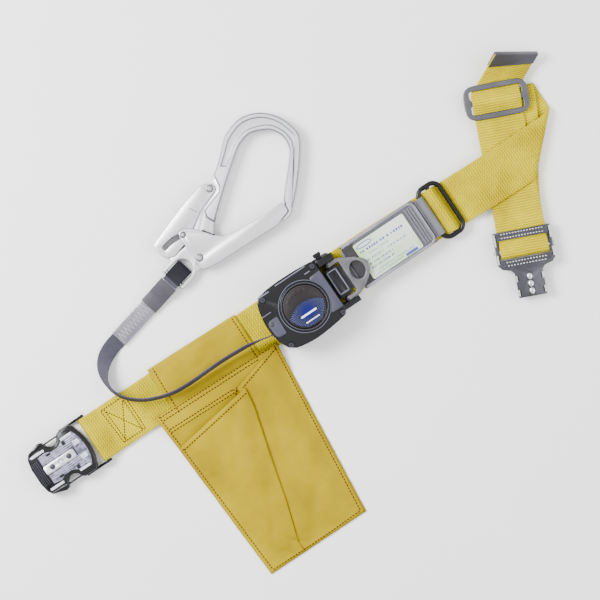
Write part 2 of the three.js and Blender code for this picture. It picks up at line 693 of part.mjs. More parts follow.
function makeDrum() {
  const [low, high] = DRUM_Z;
  const flange = (z) => pin(0, 0, z, z + FLANGE_THICK, DRUM.flange, 40);
  const teeth = [];
  for (let i = 0; i < 12; i += 1) {
    const notch = plate([[21, 0], [25, 0.4], [25, 4]], low - 1, low + 2);
    teeth.push(notch.rotate([0, 0, 30 * i]));
  }
  const hub = pin(0, 0, low, high, DRUM.hub - GAP, 24);
  const bore = pin(0, 0, low - 1, high + 1, 3.2, 16);
  const solid = join(hub, cut(flange(low), ...teeth), flange(high - FLANGE_THICK)).subtract(bore);
  addPart('drum', solid, DARK_STEEL);
  const strap = new THREE.Shape();
  strap.absarc(0, 0, DRUM.wound, 0, 2 * Math.PI);
  const wound = plate(strap, low + 1.3, low + 1.3 + STRAP_WIDTH, { holes: [circle(0, 0, DRUM.hub)], curve: 20 });
  addPart('wound_strap', wound, CHARCOAL);
  addPart('drum_shaft', pin(0, 0, CASE.floor + GAP, CASE.cover - 0.4, 2.9, 16), STEEL);
}

function makeSpiralSpring() {
  const turns = 5;
  const perTurn = 16;
  const stations = [];
  const at = (angle, radius, z) => new THREE.Vector3(radius * Math.cos(angle), radius * Math.sin(angle), z);
  for (let i = 0; i <= turns * perTurn; i += 1) {
    const angle = 2 * Math.PI * i / perTurn;
    const radius = 4.5 + 16.5 * i / (turns * perTurn);
    stations.push({
      left: at(angle, radius, SPRING_Z[1]),
      right: at(angle, radius, SPRING_Z[0]),
      normal: at(angle, 1, 0),
    });
  }
  addPart('spiral_spring', webbing(stations, 0.5), STEEL);
}

function makeReelTrim() {
  const z = CASE.cover + GAP;
  const guide = rounded([[-41, -9], [-38.5, -12], [-30, -12.5], [-29, 7.5], [-39, 7], [-41.5, 4]], 1.5);
  const guideHole = circle(-38, 3, 1.3);
  addPart('exit_guide', plate(guide, z, z + 1.2, { holes: [guideHole], curve: 3 }), SMOKE);
  const screw = join(pin(-38, 3, CASE.top + 0.8, z + 1.6, 1, 10), pin(-38, 3, z + 1.5, z + 2.3, 1.9, 12));
  addPart('exit_guide_screw', screw, STEEL);
  const strip = new THREE.Shape();
  strip.moveTo(32.4, 22.5);
  strip.lineTo(20.5, 21.5);
  strip.lineTo(18.8, 19.6);
  strip.absarc(0, 0, 27.2, THREE.MathUtils.degToRad(46), THREE.MathUtils.degToRad(-46), true);
  strip.lineTo(20.5, -21);
  strip.lineTo(33, -21);
  addPart('accent_strip', plate(strip, z, z + 0.9, { curve: 10 }), SMOKE);
  SCREWS.forEach(([x, y], i) => {
    const shank = pin(x, y, 22.5, z + 0.4, 1.4, 10);
    const head = plate(circle(x, y, 2.9), z, z + 1.6, { bevel: 0.5, curve: 6 });
    addPart(`case_screw_${i + 1}`, join(shank, head), DARK_STEEL);
  });
}

function makeBackPlate() {
  const outline = rounded([[-36, 34.5], [50, 34.5], [50, -25], [-32, -25], [-38, -16], [-40, 20]], 5);
  addPart('reel_back_plate', plate(outline, 0, 2, { bevel: 0.4, curve: 3 }), DARK_STEEL);
}

function makeLockButton() {
  const { x0, x1 } = LOCK_BUTTON;
  const cap = plate(rounded(rectangle(x0, 34.6, x1, 38.6), 1), 27, 35, { bevel: 0.4, curve: 2 });
  const stem = block([x0 + 1.5, 26, 28.5], [x1 - 1.5, 36, 33.5]);
  addPart('lock_button', join(cap, stem), BLACK);
}

function makeDRing() {
  const { x, z, r } = D_RING_AXIS;
  const profile = [[78.5, 1.5], [77, 7], [70, 14.5], [60, 20], [52, 23.6], [40, 23.6], [40, 18.8],
    [53, 18.8], [53, -15.8], [40, -15.8], [40, -20.4], [54, -20.4], [62, -17], [70, -12], [77, -4.5]];
  const eye = ellipse(65.3, 1.5, 7.6, 9.4, 28);
  const body = plate(rounded(profile, 1.6), 20.2, 24.6, { bevel: 0.7, holes: [eye], curve: 3 });
  const knuckles = [[18.8, 23.6], [-20.4, -15.8]].map(([y0, y1]) => rod([x, y0, z], [x, y1, z], 5, 20));
  const bore = rod([x, -24, z], [x, 26, z], r + 0.05, 16);
  const trim = block([30, -30, 10], [37.5, 40, 30]);
  addPart('d_ring', cut(join(body, ...knuckles), bore, trim), STEEL);
  addPart('hinge_rod', rod([x, -26, z], [x, 31, z], r - GAP, 16), STEEL);
}

function makeHingeBlock() {
  const { x, z, r } = D_RING_AXIS;
  const base = block([BLOCK_X[0] + 0.2, -14.8, CASE.low], [50, 17.8, 24]);
  const rib = plate(rounded(rectangle(35.6, -13.5, 46, 16.5), 1.5), 23.5, 26, { curve: 3 });
  const dip = plate(rectangle(38, -11, 43.6, 14), 25, 27);
  const slotForBand = block([46.5, -13, 9], [51, 16, 18]);
  const bore = rod([x, -30, z], [x, 30, z], r, 16);
  addPart('hinge_block', cut(join(base, rib), dip, bore, slotForBand), BLACK);
}

// ---------------------------------------------------------------- shock absorber
function makeAbsorber() {
  const band = tautRoute([
    [62, 11.5, 0],
    [140, 11.5, 0],
    [RING.left, RING.z, -(RING.r + GAP + 0.95)],
    [140, 7.6, 0],
  ], { step: 30, span: 40 });
  const across = (side, along, up) => new THREE.Vector3(along, 5 - side, up);
  const loop = webbing(stationsAlong(band, 44, across), 1.5);
  const pack = block([60, -14, 6.4], [146, 24, 16.6]);
  const nose = block([47, -12, 9.6], [62, 15, 16.5]);
  addPart('absorber_webbing', join(loop, pack, nose), CHARCOAL);
  const tube = (x0, x1, inset, z0, z1) => barAlongX(
    rounded([[-20.5 + inset, z0], [30.5 - inset, z0], [30.5 - inset, z1], [-20.5 + inset, z1]], 4), x0, x1,
  );
  const shell = tube(62.5, 150, 0, 4.9, 18.4);
  const hollow = tube(50, 160, 1, 5.5, 17.4);
  addPart('absorber_cover', shell.subtract(hollow), CLEAR_GREY);
  const label = rounded(rectangle(74, -16.5, 134.5, 24), 2);
  addPart('absorber_label', plate(label, 18.7, 19.1, { curve: 3 }), LABEL_PALE);
}

// A profile in the Y-Z plane, extruded along X.
function barAlongX(profile, low, high) {
  const geometry = new THREE.ExtrudeGeometry(asShape(profile), {
    depth: high - low, bevelEnabled: false, curveSegments: 4,
  });
  geometry.rotateX(Math.PI / 2);
  geometry.rotateZ(Math.PI / 2);
  geometry.translate(low, 0, 0);
  return toSolid(geometry);
}

// ---------------------------------------------------------------- hook
const CROWN_OUTSIDE = [[-3, 162.5], [10, 172.5], [20, 182], [30, 190], [50, 196], [70, 190.5],
  [85, 175.5], [92, 156], [90, 143], [76, 123], [60, 104.5], [50, 94.5], [44, 89]];
const CROWN_LIP = [[31, 84.2], [38, 85], [44, 89], [48, 95], [43, 99], [41.2, 96], [40.6, 89.2], [30.5, 85.8]];
const CROWN_INSIDE = [[41.2, 90], [41.6, 101], [50, 111], [64, 126.5], [75, 140],
  [77.7, 152], [75, 162], [68, 170.5], [52, 177], [40, 174.8], [30, 169.5], [0, 146.5], [-29, 122.5]];
const GATE_OUTLINE = [[-67, 91], [-67, 130], [-65.5, 133], [-61.5, 134.3], [-57, 133.4], [-52, 130],
  [-45, 122], [-35, 110.3], [-28, 105], [-10, 102], [20, 100], [38.6, 101.4], [40, 99], [40, 90.2],
  [28, 86.4], [24, 84.3], [-50, 86], [-64, 88]];
const LEVER_OUTLINE = [[-20, 161.2], [-45, 155], [-93.5, 137.2], [-93.5, 124], [-90, 118.5],
  [-82, 116], [-66, 120.5], [-50, 129.5], [-35, 139.5], [-10, 148.6], [-8.4, 152.5], [-11, 158]];

const rotate2 = ([x, y], [cx, cy], degrees) => {
  const a = THREE.MathUtils.degToRad(degrees);
  const dx = x - cx;
  const dy = y - cy;
  return [cx + dx * Math.cos(a) - dy * Math.sin(a), cy + dx * Math.sin(a) + dy * Math.cos(a)];
};

// Where the gate's pin stands in the lever's own frame once the gate has opened.
const pinInLever = (gateAngle) => (
  rotate2(rotate2(GATE_PIN, GATE_PIVOT, gateAngle), LEVER_PIVOT, -LEVER_RATIO * gateAngle)
);

function slotTool(low, high) {
  const stops = [];
  for (let angle = 0; angle <= 42; angle += 10.5) stops.push(pinInLever(angle));
  const pieces = stops.map(([x, y]) => pin(x, y, low, high, PIN_R + 0.5, 12));
  for (let i = 1; i < stops.length; i += 1) {
    const [ax, ay] = stops[i - 1];
    const [bx, by] = stops[i];
    const length = Math.hypot(bx - ax, by - ay);
    const [nx, ny] = [-(by - ay) / length * (PIN_R + 0.5), (bx - ax) / length * (PIN_R + 0.5)];
    pieces.push(plate([[ax - nx, ay - ny], [bx - nx, by - ny], [bx + nx, by + ny], [ax + nx, ay + ny]], low, high));
  }
  return join(...pieces);
}

function crownShape() {
  const shape = new THREE.Shape();
  const line = (points) => points.map(([x, y]) => new THREE.Vector2(x, y));
  const [start, ...outside] = line(CROWN_OUTSIDE);
  shape.moveTo(start.x, start.y);
  shape.splineThru(outside.slice(0, 9));
  outside.slice(9).forEach((point) => shape.lineTo(point.x, point.y));
  const inside = line(CROWN_INSIDE);
  inside.slice(0, 3).forEach((point) => shape.lineTo(point.x, point.y));
  shape.splineThru(inside.slice(3, 12));
  shape.lineTo(inside[12].x, inside[12].y);
  [[-33, 131], [-31, 137.5], [-8, 145.5], [-4.5, 150]].forEach(([x, y]) => shape.lineTo(x, y));
  return shape;
}

function eyeOutlines() {
  const ring = (left, half, right) => {
    const shape = new THREE.Shape();
    shape.moveTo(left, half - 3);
    shape.quadraticCurveTo(left, half, left + 3, half);
    shape.lineTo(right - half, half);
    shape.absarc(right - half, 0, half, Math.PI / 2, -Math.PI / 2, true);
    shape.lineTo(left + 3, -half);
    shape.quadraticCurveTo(left, -half, left, -half + 3);
    return shape;
  };
  return { outer: ring(-15.4, 14.6, 14.6), hole: ring(-11, 10.4, 10.2) };
}

function makeHookBody() {
  const [back, front] = [HOOK_Z - HOOK.crown, HOOK_Z + HOOK.crown];
  const crown = join(plate(crownShape(), back, front, { bevel: 1, curve: 3 }), plate(CROWN_LIP, back, front));
  const eye = eyeOutlines();
  const low = HOOK_Z - HOOK.web;
  const high = HOOK_Z + HOOK.web;
  const place = (solid) => turned(solid, EYE.turn, [EYE.x, EYE.y]);
  const web = plate([[-88, 114], [-88, 117.3], [-62, 118.5], [-57.6, 121.5], [-56, 134], [-36, 145],
    [-24, 155], [-18, 159], [-2, 159.5], [4, 152], [-12, 137], [-31, 120.5], [-36.5, 112], [-44, 102.5],
    [-53, 93.5], [-61, 90.4], [-72, 90.5]], low, high);
  const bar = turned(rod([-13.2, -13, HOOK_Z], [-13.2, 13, HOOK_Z], HOOK.web, 12), EYE.turn, [EYE.x, EYE.y]);
  const ringSolid = place(plate(eye.outer, low, high, { curve: 10 }));
  const hole = place(plate(eye.hole, low - 5, high + 5, { curve: 10 }));
  const barRoom = place(block([-16, -10.4, low - 5], [-10, 10.4, high + 5]));
  const bores = [GATE_PIVOT, LEVER_PIVOT].map(([x, y]) => pin(x, y, 0, 20, 3.2, 16));
  const solid = cut(join(crown, web, ringSolid), hole, barRoom, ...bores, ...crownGrooves());
  addPart('hook_body', join(solid, bar), ALUMINIUM);
}

// The forged recess that runs round both faces of the crown.
function crownGrooves() {
  const outside = [[8, 166], [20, 176], [31, 185], [50, 191], [68, 186], [80.5, 173.5], [87, 156], [85, 145], [58, 109]];
  const inside = [[61.5, 114], [80, 141], [82.4, 153], [79, 164.5], [70.5, 175], [52, 181.8], [37, 179], [25, 171.5], [12, 163.2]];
  const shape = new THREE.Shape();
  const line = (points) => points.map(([x, y]) => new THREE.Vector2(x, y));
  shape.moveTo(outside[0][0], outside[0][1]);
  shape.splineThru(line(outside.slice(1)));
  shape.lineTo(inside[0][0], inside[0][1]);
  shape.splineThru(line(inside.slice(1)));
  const depth = 2;
  return [
    plate(shape, HOOK_Z + HOOK.crown - depth, HOOK_Z + HOOK.crown + 1, { curve: 2 }),
    plate(shape, HOOK_Z - HOOK.crown - 1, HOOK_Z - HOOK.crown + depth, { curve: 2 }),
  ];
}

function makeGate() {
  const [inner, outer] = HOOK.gate;
  const body = plate(rounded(GATE_OUTLINE, 3), HOOK_Z - outer, HOOK_Z + outer, { curve: 2 });
  const room = plate(
    [[-80, 80], [-65, 90.4], [-50, 88.5], [24, 86.8], [29, 89.5], [29, 120], [-30, 150], [-80, 150]],
    HOOK_Z - inner, HOOK_Z + inner,
  );
  const bores = [[GATE_PIVOT, 3.2], [GATE_PIN, PIN_R + GAP]].map(([[x, y], r]) => pin(x, y, 0, 20, r, 16));
  addPart('gate', cut(body, room, ...bores), ALUMINIUM);
  addPart('gate_pin', rivet(GATE_PIN, PIN_R, 3.3, outer), STEEL);
}

// A rivet whose heads stand on plates that are `half` away from the hook's middle.
function rivet([x, y], radius, head, half) {
  const reach = half + GAP;
  return join(
    pin(x, y, HOOK_Z - reach - 0.5, HOOK_Z + reach + 0.5, radius, 12),
    pin(x, y, HOOK_Z - reach - 0.8, HOOK_Z - reach, head, 14),
    pin(x, y, HOOK_Z + reach, HOOK_Z + reach + 0.8, head, 14),
  );
}

function makeLever() {
  const [inner, outer] = HOOK.lever;
  const body = plate(rounded(LEVER_OUTLINE, 3), HOOK_Z - outer, HOOK_Z + outer, { curve: 3 });
  const room = plate(
    [[-91, 100], [-91, 134.6], [-45, 152.2], [-33, 155.3], [-33, 170], [0, 170], [0, 100]],
    HOOK_Z - inner, HOOK_Z + inner,
  );
  const bore = pin(...LEVER_PIVOT, 0, 20, 3.2, 16);
  addPart('safety_lever', cut(body, room, bore, slotTool(0, 20)), ALUMINIUM);
  addPart('gate_rivet', rivet(GATE_PIVOT, 2.9, 4, HOOK.gate[1]), STEEL);
  addPart('lever_rivet', rivet(LEVER_PIVOT, 2.9, 4, outer), STEEL);
  const coil = spring(4.4, 0.3, 2.2, 2, 6).translate([...GATE_PIVOT, HOOK_Z + HOOK.web + 0.2]);
  addPart('gate_spring', coil, STEEL);
}

// ---------------------------------------------------------------- lanyard strap
// The free strap: [x, y, turn, lift]. It runs on its edge (turn 0) and lies flat (turn 90).
const STRAP_ROUTE = [
  [-27, -8.2, 0, 13.4], [-44.6, -6, 0, 13.2], [-56, -3.6, 0, 12.6], [-70, -1.2, 0, 11.8],
  [-85, -0.2, 0, 11], [-100, 0.4, 0, 10.2], [-120, 0.1, 0, 9.4], [-140, -0.4, 0, 8.6],
  [-157, 0.6, 0, 8], [-172, 4.2, 0, 7.6], [-186, 9.8, 0, 7.2], [-197.5, 17.6, 0, 7],
  [-205.8, 26.6, 2, 6.2], [-210.8, 37.5, 6, 4.4], [-211.4, 48, 18, 1.5], [-208.4, 57.5, 38, 0.5],
  [-202.8, 65.2, 58, 0.3], [-195, 71.1, 76, 0.4], [-184.5, 75.4, 90, 0.6], [-172.5, 78.3, 90, 0.7],
];
const LOOP = { bar: -13.2, end: -2, r: 4.2 }; // the strap's end loop in the hook's eye
const LAYER_Z = [1.4, 3.2]; // middle heights of the two sewn layers
const PROTECTOR = { width: 18, thick: 1.2 };

function strapStations() {
  const points = STRAP_ROUTE.map(([x, y]) => new THREE.Vector3(x, y, 0));
  return STRAP_ROUTE.map(([x, y, degrees, lift], i) => {
    const before = points[Math.max(i - 1, 0)];
    const after = points[Math.min(i + 1, points.length - 1)];
    const travel = after.clone().sub(before).normalize();
    const turn = THREE.MathUtils.degToRad(degrees);
    const outwards = travel.clone().cross(UP).normalize();
    const half = UP.clone().multiplyScalar(Math.cos(turn)).addScaledVector(outwards, Math.sin(turn));
    half.multiplyScalar(STRAP_WIDTH / 2);
    const middle = lift + (STRAP_WIDTH * Math.cos(turn) + STRAP_THICK * Math.sin(turn)) / 2;
    const centre = new THREE.Vector3(x, y, middle);
    return {
      left: centre.clone().sub(half),
      right: centre.clone().add(half),
      normal: half.clone().cross(travel).normalize(),
    };
  });
}

// The eye's own frame: u along the strap towards the hook, v across it.
function eyePoint(v, u, z) {
  const turn = THREE.MathUtils.degToRad(EYE.turn);
  return new THREE.Vector3(
    EYE.x + u * Math.cos(turn) - v * Math.sin(turn),
    EYE.y + u * Math.sin(turn) + v * Math.cos(turn),
    z,
  );
}

const towardsEye = (side, u, z) => eyePoint(-side, u, z);

function makeStrap() {
  const over = LOOP.r + STRAP_THICK / 2 + GAP + PROTECTOR.thick / 2;
  const loop = (radius, from) => [
    [from, HOOK_Z - radius, 0], [LOOP.end, HOOK_Z, radius], [from, HOOK_Z + radius, 0],
  ];
  const route = tautRoute([
    [-84, LAYER_Z[0], 0], [-37, LAYER_Z[0], 0],
    ...loop(LOOP.r, LOOP.bar - 2),
    [-38, LAYER_Z[1], 0], [-93, LAYER_Z[1], 0],
  ], { step: 26, span: 30 });
  const end = stationsAlong(route, STRAP_WIDTH, towardsEye);
  addPart('lanyard_strap', webbing([...strapStations(), ...end], STRAP_THICK), CHARCOAL);

  const guard = tautRoute(loop(over, LOOP.bar - 2.8), { step: 26, span: 30 });
  const guardStations = stationsAlong(guard, PROTECTOR.width, towardsEye);
  addPart('eye_protector', webbing(guardStations, PROTECTOR.thick), BLACK);

  const outer = barAcrossStrap(
    [[-97, 0.05], [-37, 0.05], [-20, 1.9], [-20, 12.3], [-39, 4.9], [-97, 4.6]], 9.4,
  );
  const inner = barAcrossStrap(
    [[-99, 0.45], [-37, 0.45], [-18, 2.5], [-18, 12.5], [-39.5, 4.4], [-99, 4.1]], 8.9,
  );
  addPart('wear_sleeve', outer.subtract(inner), CLEAR_GREY);
}

// A profile in the strap's (u, z) plane, reaching `half` to each side of the strap's middle.
function barAcrossStrap(profile, half) {
  return turned(barAlongY(profile, -half, half), EYE.turn, [EYE.x, EYE.y]);
}

// ---------------------------------------------------------------- pouch
const POUCH_X = [-170, -64]; // the tunnel that runs on the belt
const POUCH_MOUTH = [[-188, -57], [-97, -39], [-56, -24.6]];
const POUCH_TOP = 12;

function makePouch() {
  const tunnelOutside = rounded(rectangle(-24, 0.3, 35.4, 6.4), 1.5);
  const tunnelInside = rectangle(-20, 1.8, 32.3, 5.1);
  const tunnel = barAlongX(tunnelOutside, ...POUCH_X).subtract(barAlongX(tunnelInside, -175, -60));
  const hem = plate([[-190, -11], [-45, -18], [-46, -24], [-189, -24]], 5.1, 6.4);
  const wall = block([-189, -24, 0.3], [-46, -21, 6.4]);
  const panel = plate([[-189, -21], [-46, -21], [-63, -209], [-181, -209]], 0.3, 1.5);
  addPart('pouch_back', join(tunnel, hem, wall, panel), GOLD_VINYL);

  const body = plate(
    [[-189, -45], [-97, -27], [-46, -8], [-64, -207], [-180, -207]], -4, POUCH_TOP,
    { bevel: 3, steps: 2 },
  );
  const hollow = plate(
    [[-187.4, -40], [-97, -22], [-47.4, -2], [-65.4, -205.6], [-178.6, -205.6]], -4, POUCH_TOP - 1.2,
    { bevel: 3, steps: 2 },
  );
  const aboveMouth = plate(
    [[-205, -60.4], ...POUCH_MOUTH, [-30, -24.6], [-30, 10], [-205, 10]], 0, 20,
  );
  const underneath = block([-200, -220, -10], [-30, 0, 1.8]);
  addPart('pouch_front', cut(body, hollow, aboveMouth, underneath), GOLD_VINYL);
}

// ---------------------------------------------------------------- assembly
makeBelt();
makeBeltRing();
makeTailSlide();
makeTongueBuckle();
makeBuckle();
makeBackPlate();
makeCase();
makeReelCover();
makeDrum();
makeSpiralSpring();
makeReelTrim();
makeLockButton();
makeHingeBlock();
makeDRing();
makeAbsorber();
makeHookBody();
makeGate();
makeLever();
makeStrap();
makePouch();

export default model;
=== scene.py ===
"""Looks for the waist belt with a self retracting lanyard, laid out on a pale table."""

import json
import math
import random

import bmesh
import bpy
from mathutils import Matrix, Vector, noise
from mathutils.bvhtree import BVHTree

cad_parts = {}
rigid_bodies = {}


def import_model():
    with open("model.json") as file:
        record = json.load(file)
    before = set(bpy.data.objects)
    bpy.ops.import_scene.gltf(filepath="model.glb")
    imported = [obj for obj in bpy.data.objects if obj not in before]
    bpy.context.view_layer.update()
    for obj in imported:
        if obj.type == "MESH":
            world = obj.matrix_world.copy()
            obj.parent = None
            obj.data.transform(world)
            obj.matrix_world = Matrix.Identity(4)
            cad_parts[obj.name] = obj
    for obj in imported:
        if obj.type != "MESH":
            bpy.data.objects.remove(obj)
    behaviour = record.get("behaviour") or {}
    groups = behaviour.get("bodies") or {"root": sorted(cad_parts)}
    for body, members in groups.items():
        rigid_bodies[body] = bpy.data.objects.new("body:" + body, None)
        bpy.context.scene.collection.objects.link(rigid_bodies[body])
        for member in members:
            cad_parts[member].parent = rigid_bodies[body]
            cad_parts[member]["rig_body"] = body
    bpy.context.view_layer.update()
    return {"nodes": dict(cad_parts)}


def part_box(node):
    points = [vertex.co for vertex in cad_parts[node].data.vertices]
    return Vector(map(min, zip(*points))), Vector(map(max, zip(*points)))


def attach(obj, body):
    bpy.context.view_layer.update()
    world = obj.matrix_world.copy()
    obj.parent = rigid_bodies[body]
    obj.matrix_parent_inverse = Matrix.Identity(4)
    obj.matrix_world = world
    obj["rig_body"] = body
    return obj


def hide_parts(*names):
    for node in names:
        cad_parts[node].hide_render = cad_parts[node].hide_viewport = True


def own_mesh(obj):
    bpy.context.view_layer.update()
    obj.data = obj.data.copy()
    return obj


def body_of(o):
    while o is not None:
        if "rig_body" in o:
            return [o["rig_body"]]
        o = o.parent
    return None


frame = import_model()
random.seed(7)
MM = 0.001

# ------------------------------------------------------------------ camera, light, table
ROLL = math.radians(33.7)  # the belt runs up to the right by this angle
VIEW_CENTRE = (-0.42, 8.01)  # mm, the point under the middle of the picture
VIEW_WIDTH, VIEW_LEVEL = 612, 6  # mm across the picture, and the height where that holds
CAMERA_HEIGHT = 3400  # mm above the table


def make_camera():
    camera = bpy.data.objects.new("camera", bpy.data.cameras.new("camera"))
    bpy.context.collection.objects.link(camera)
    camera.location = Vector((*VIEW_CENTRE, CAMERA_HEIGHT)) * MM
    camera.rotation_euler = (0, 0, -ROLL)
    camera.data.lens = (camera.data.sensor_width / 2 * (CAMERA_HEIGHT - VIEW_LEVEL)
                        / (VIEW_WIDTH / 2))
    camera.data.clip_start, camera.data.clip_end = 0.05, 50
    bpy.context.scene.camera = camera


def make_lights():
    def area(name, place, aim, size, power):
        light = bpy.data.lights.new(name, "AREA")
        light.size, light.energy = size, power
        lamp = bpy.data.objects.new(name, light)
        bpy.context.collection.objects.link(lamp)
        lamp.location = place
        lamp.rotation_euler = (Vector(aim) - Vector(place)).to_track_quat("-Z", "Y").to_euler()

    area("key", (-0.75, 0.95, 1.25), (0, 0, 0), 0.8, 62)
    area("fill", (1.2, -0.7, 1.1), (0, 0, 0), 1.2, 20)
    world = bpy.data.worlds.new("studio")
    world.use_nodes = True
    tree = world.node_tree
    ramp = tree.nodes.new("ShaderNodeValToRGB")
    low, high = ramp.color_ramp.elements
    low.position, low.color = 0.50, (0.07, 0.07, 0.08, 1)
    high.position, high.color = 0.92, (1, 1, 1, 1)
    coords = tree.nodes.new("ShaderNodeTexCoord")
    split = tree.nodes.new("ShaderNodeSeparateXYZ")
    shift = tree.nodes.new("ShaderNodeMath")
    shift.operation = "MULTIPLY_ADD"
    shift.inputs[1].default_value, shift.inputs[2].default_value = 0.5, 0.5
    tree.links.new(coords.outputs["Generated"], split.inputs[0])
    tree.links.new(split.outputs["Z"], shift.inputs[0])
    tree.links.new(shift.outputs[0], ramp.inputs[0])
    tree.links.new(ramp.outputs[0], tree.nodes["Background"].inputs["Color"])
    tree.nodes["Background"].inputs["Strength"].default_value = 1.65
    bpy.context.scene.world = world


# ------------------------------------------------------------------ materials
class Material:
    """A node material built up from small numbered steps."""

    def __init__(self, name):
        self.data = bpy.data.materials.new(name)
        self.data.use_nodes = True
        self.tree = self.data.node_tree
        self.surface = self.tree.nodes["Principled BSDF"]

    def node(self, kind, settings=None, **inputs):
        made = self.tree.nodes.new("ShaderNode" + kind)
        for key, value in (settings or {}).items():
            setattr(made, key, value)
        for key, value in inputs.items():
            key = int(key[1:]) if key[0] == "i" and key[1:].isdigit() else key.replace("_", " ")
            self.feed(made.inputs[key], value)
        return made

    def feed(self, socket, value):
        if isinstance(value, bpy.types.NodeSocket):
            self.tree.links.new(value, socket)
        else:
            socket.default_value = value

    def math(self, operation, *values):
        made = self.tree.nodes.new("ShaderNodeMath")
        made.operation = operation
        for socket, value in zip(made.inputs, values):
            self.feed(socket, value)
        return made.outputs[0]

    def mul(self, first, second):
        return self.math("MULTIPLY", first, second)

    def add(self, first, second):
        return self.math("ADD", first, second)

    def sine(self, value):
        return self.math("SINE", value)

    def scaled(self, value, factor, offset):
        return self.math("MULTIPLY_ADD", value, factor, offset)

    def mix(self, share, first, second):
        made = self.node("Mix", {"data_type": "RGBA"})
        self.feed(made.inputs["Factor"], share)
        self.feed(made.inputs["A"], first)
        self.feed(made.inputs["B"], second)
        return made.outputs["Result"]

    def place(self, kind="Object"):
        return self.node("TexCoord").outputs[kind]

    def noise(self, scale, detail=3, vector=None, rough=0.55):
        vector = vector or self.place()
        made = self.node("TexNoise", Vector=vector, Scale=scale, Detail=detail, Roughness=rough)
        return made.outputs["Fac"]

    def stretch(self, low, high, value):
        made = self.node("MapRange", Value=value)
        for key, number in zip(("From Min", "From Max"), (low, high)):
            made.inputs[key].default_value = number
        return made.outputs["Result"]

    def bump(self, height, distance):
        made = self.node("Bump", Height=height, Distance=distance)
        self.feed(self.surface.inputs["Normal"], made.outputs["Normal"])

    def finish(self, **inputs):
        for key, value in inputs.items():
            self.feed(self.surface.inputs[key.replace("_", " ")], value)
        return self.data


def rgb(red, green, blue):
    """A colour as read from a picture (0-255), turned into linear light."""
    def linear(value):
        value /= 255
        return value / 12.92 if value <= 0.04045 else ((value + 0.055) / 1.055) ** 2.4
    return (linear(red), linear(green), linear(blue), 1)


def webbing_material(name, light, dark, rib, column, height):
    """Woven webbing: ribs across its length, split into columns that are set half a rib apart."""
    m = Material(name)
    uv = m.node("SeparateXYZ", i0=m.place("UV"))
    across, along = uv.outputs["X"], uv.outputs["Y"]
    turn = 2 * math.pi
    wobble = m.mul(m.noise(60, 2, m.place("UV")), 1.4)
    columns = m.sine(m.mul(across, turn / (2 * column)))
    side = m.mul(m.math("SIGN", columns), math.pi / 5)
    phase = m.add(m.add(m.mul(along, turn / rib), wobble), side)
    ribs = m.scaled(m.sine(phase), 0.5, 0.5)
    ridge = m.math("POWER", m.math("ABSOLUTE", columns), 0.4)
    threads = m.scaled(m.sine(m.mul(across, turn / 0.00042)), 0.5, 0.5)
    weave = m.mul(ribs, ridge)
    cloth = m.add(weave, m.mul(threads, 0.18))
    broad = m.stretch(0.3, 0.7, m.noise(22, 3))
    shade = m.add(m.mul(weave, 0.55), m.mul(broad, 0.45))
    m.bump(m.add(cloth, m.mul(m.noise(2600, 2), 0.3)), height)
    return m.finish(
        Base_Color=m.mix(shade, dark, light), Roughness=0.78, Specular_IOR_Level=0.08,
    )


def plastic_material(name, colour, rough=0.35, grain=0.00004, spread=0.25, coat=0.0, scale=900,
                     shine=0.3, patches=35):
    """Moulded plastic with a fine grain, scuffs, and patches darker by the share spread."""
    m = Material(name)
    patch = m.stretch(0.35, 0.65, m.noise(patches, 4))
    darker = tuple(c * (1 - spread) for c in colour[:3]) + (1,)
    scuffs = m.math("POWER", m.noise(420, 6, rough=0.7), 3)
    m.bump(m.add(m.noise(scale, 3), m.mul(scuffs, 0.6)), grain)
    return m.finish(
        Base_Color=m.mix(patch, darker, colour), Specular_IOR_Level=shine,
        Roughness=m.add(m.mul(scuffs, 0.5), rough),
        Coat_Weight=coat, Coat_Roughness=0.12,
    )


def metal_material(name, colour, rough=0.3, grain=0.00003, along=(1, 1, 1), metal=1.0, spread=0.12):
    """Plated or forged metal with fine working marks, and slightly duller patches."""
    m = Material(name)
    marks = m.node("Mapping", Vector=m.place(), Scale=along).outputs["Vector"]
    fine = m.noise(1500, 4, marks)
    patch = m.stretch(0.3, 0.7, m.noise(45, 3))
    darker = tuple(c * (1 - spread) for c in colour[:3]) + (1,)
    m.bump(m.add(fine, m.mul(m.noise(120, 3), 0.8)), grain)
    return m.finish(
        Base_Color=m.mix(patch, darker, colour), Metallic=metal,
        Roughness=m.add(m.mul(fine, 0.16), rough - 0.05),
    )


def vinyl_material():
    """Coated cloth: a soft sheen over a fine scrim, with faint rubbed patches."""
    m = Material("pouch_vinyl_cloth")
    spot = m.node("SeparateXYZ", i0=m.place())
    turn = 2 * math.pi / 0.0011
    scrim = m.mul(m.sine(m.mul(spot.outputs["X"], turn)), m.sine(m.mul(spot.outputs["Y"], turn)))
    grain = m.noise(900, 4)
    broad = m.stretch(0.3, 0.7, m.noise(14, 4))
    m.bump(m.add(grain, m.mul(scrim, 0.22)), 0.00007)
    return m.finish(
        Base_Color=m.mix(broad, (0.25, 0.17, 0.0, 1), (0.40, 0.29, 0.0, 1)),
        Roughness=m.scaled(grain, 0.2, 0.38), Specular_IOR_Level=0.07,
    )


MATERIALS = {}


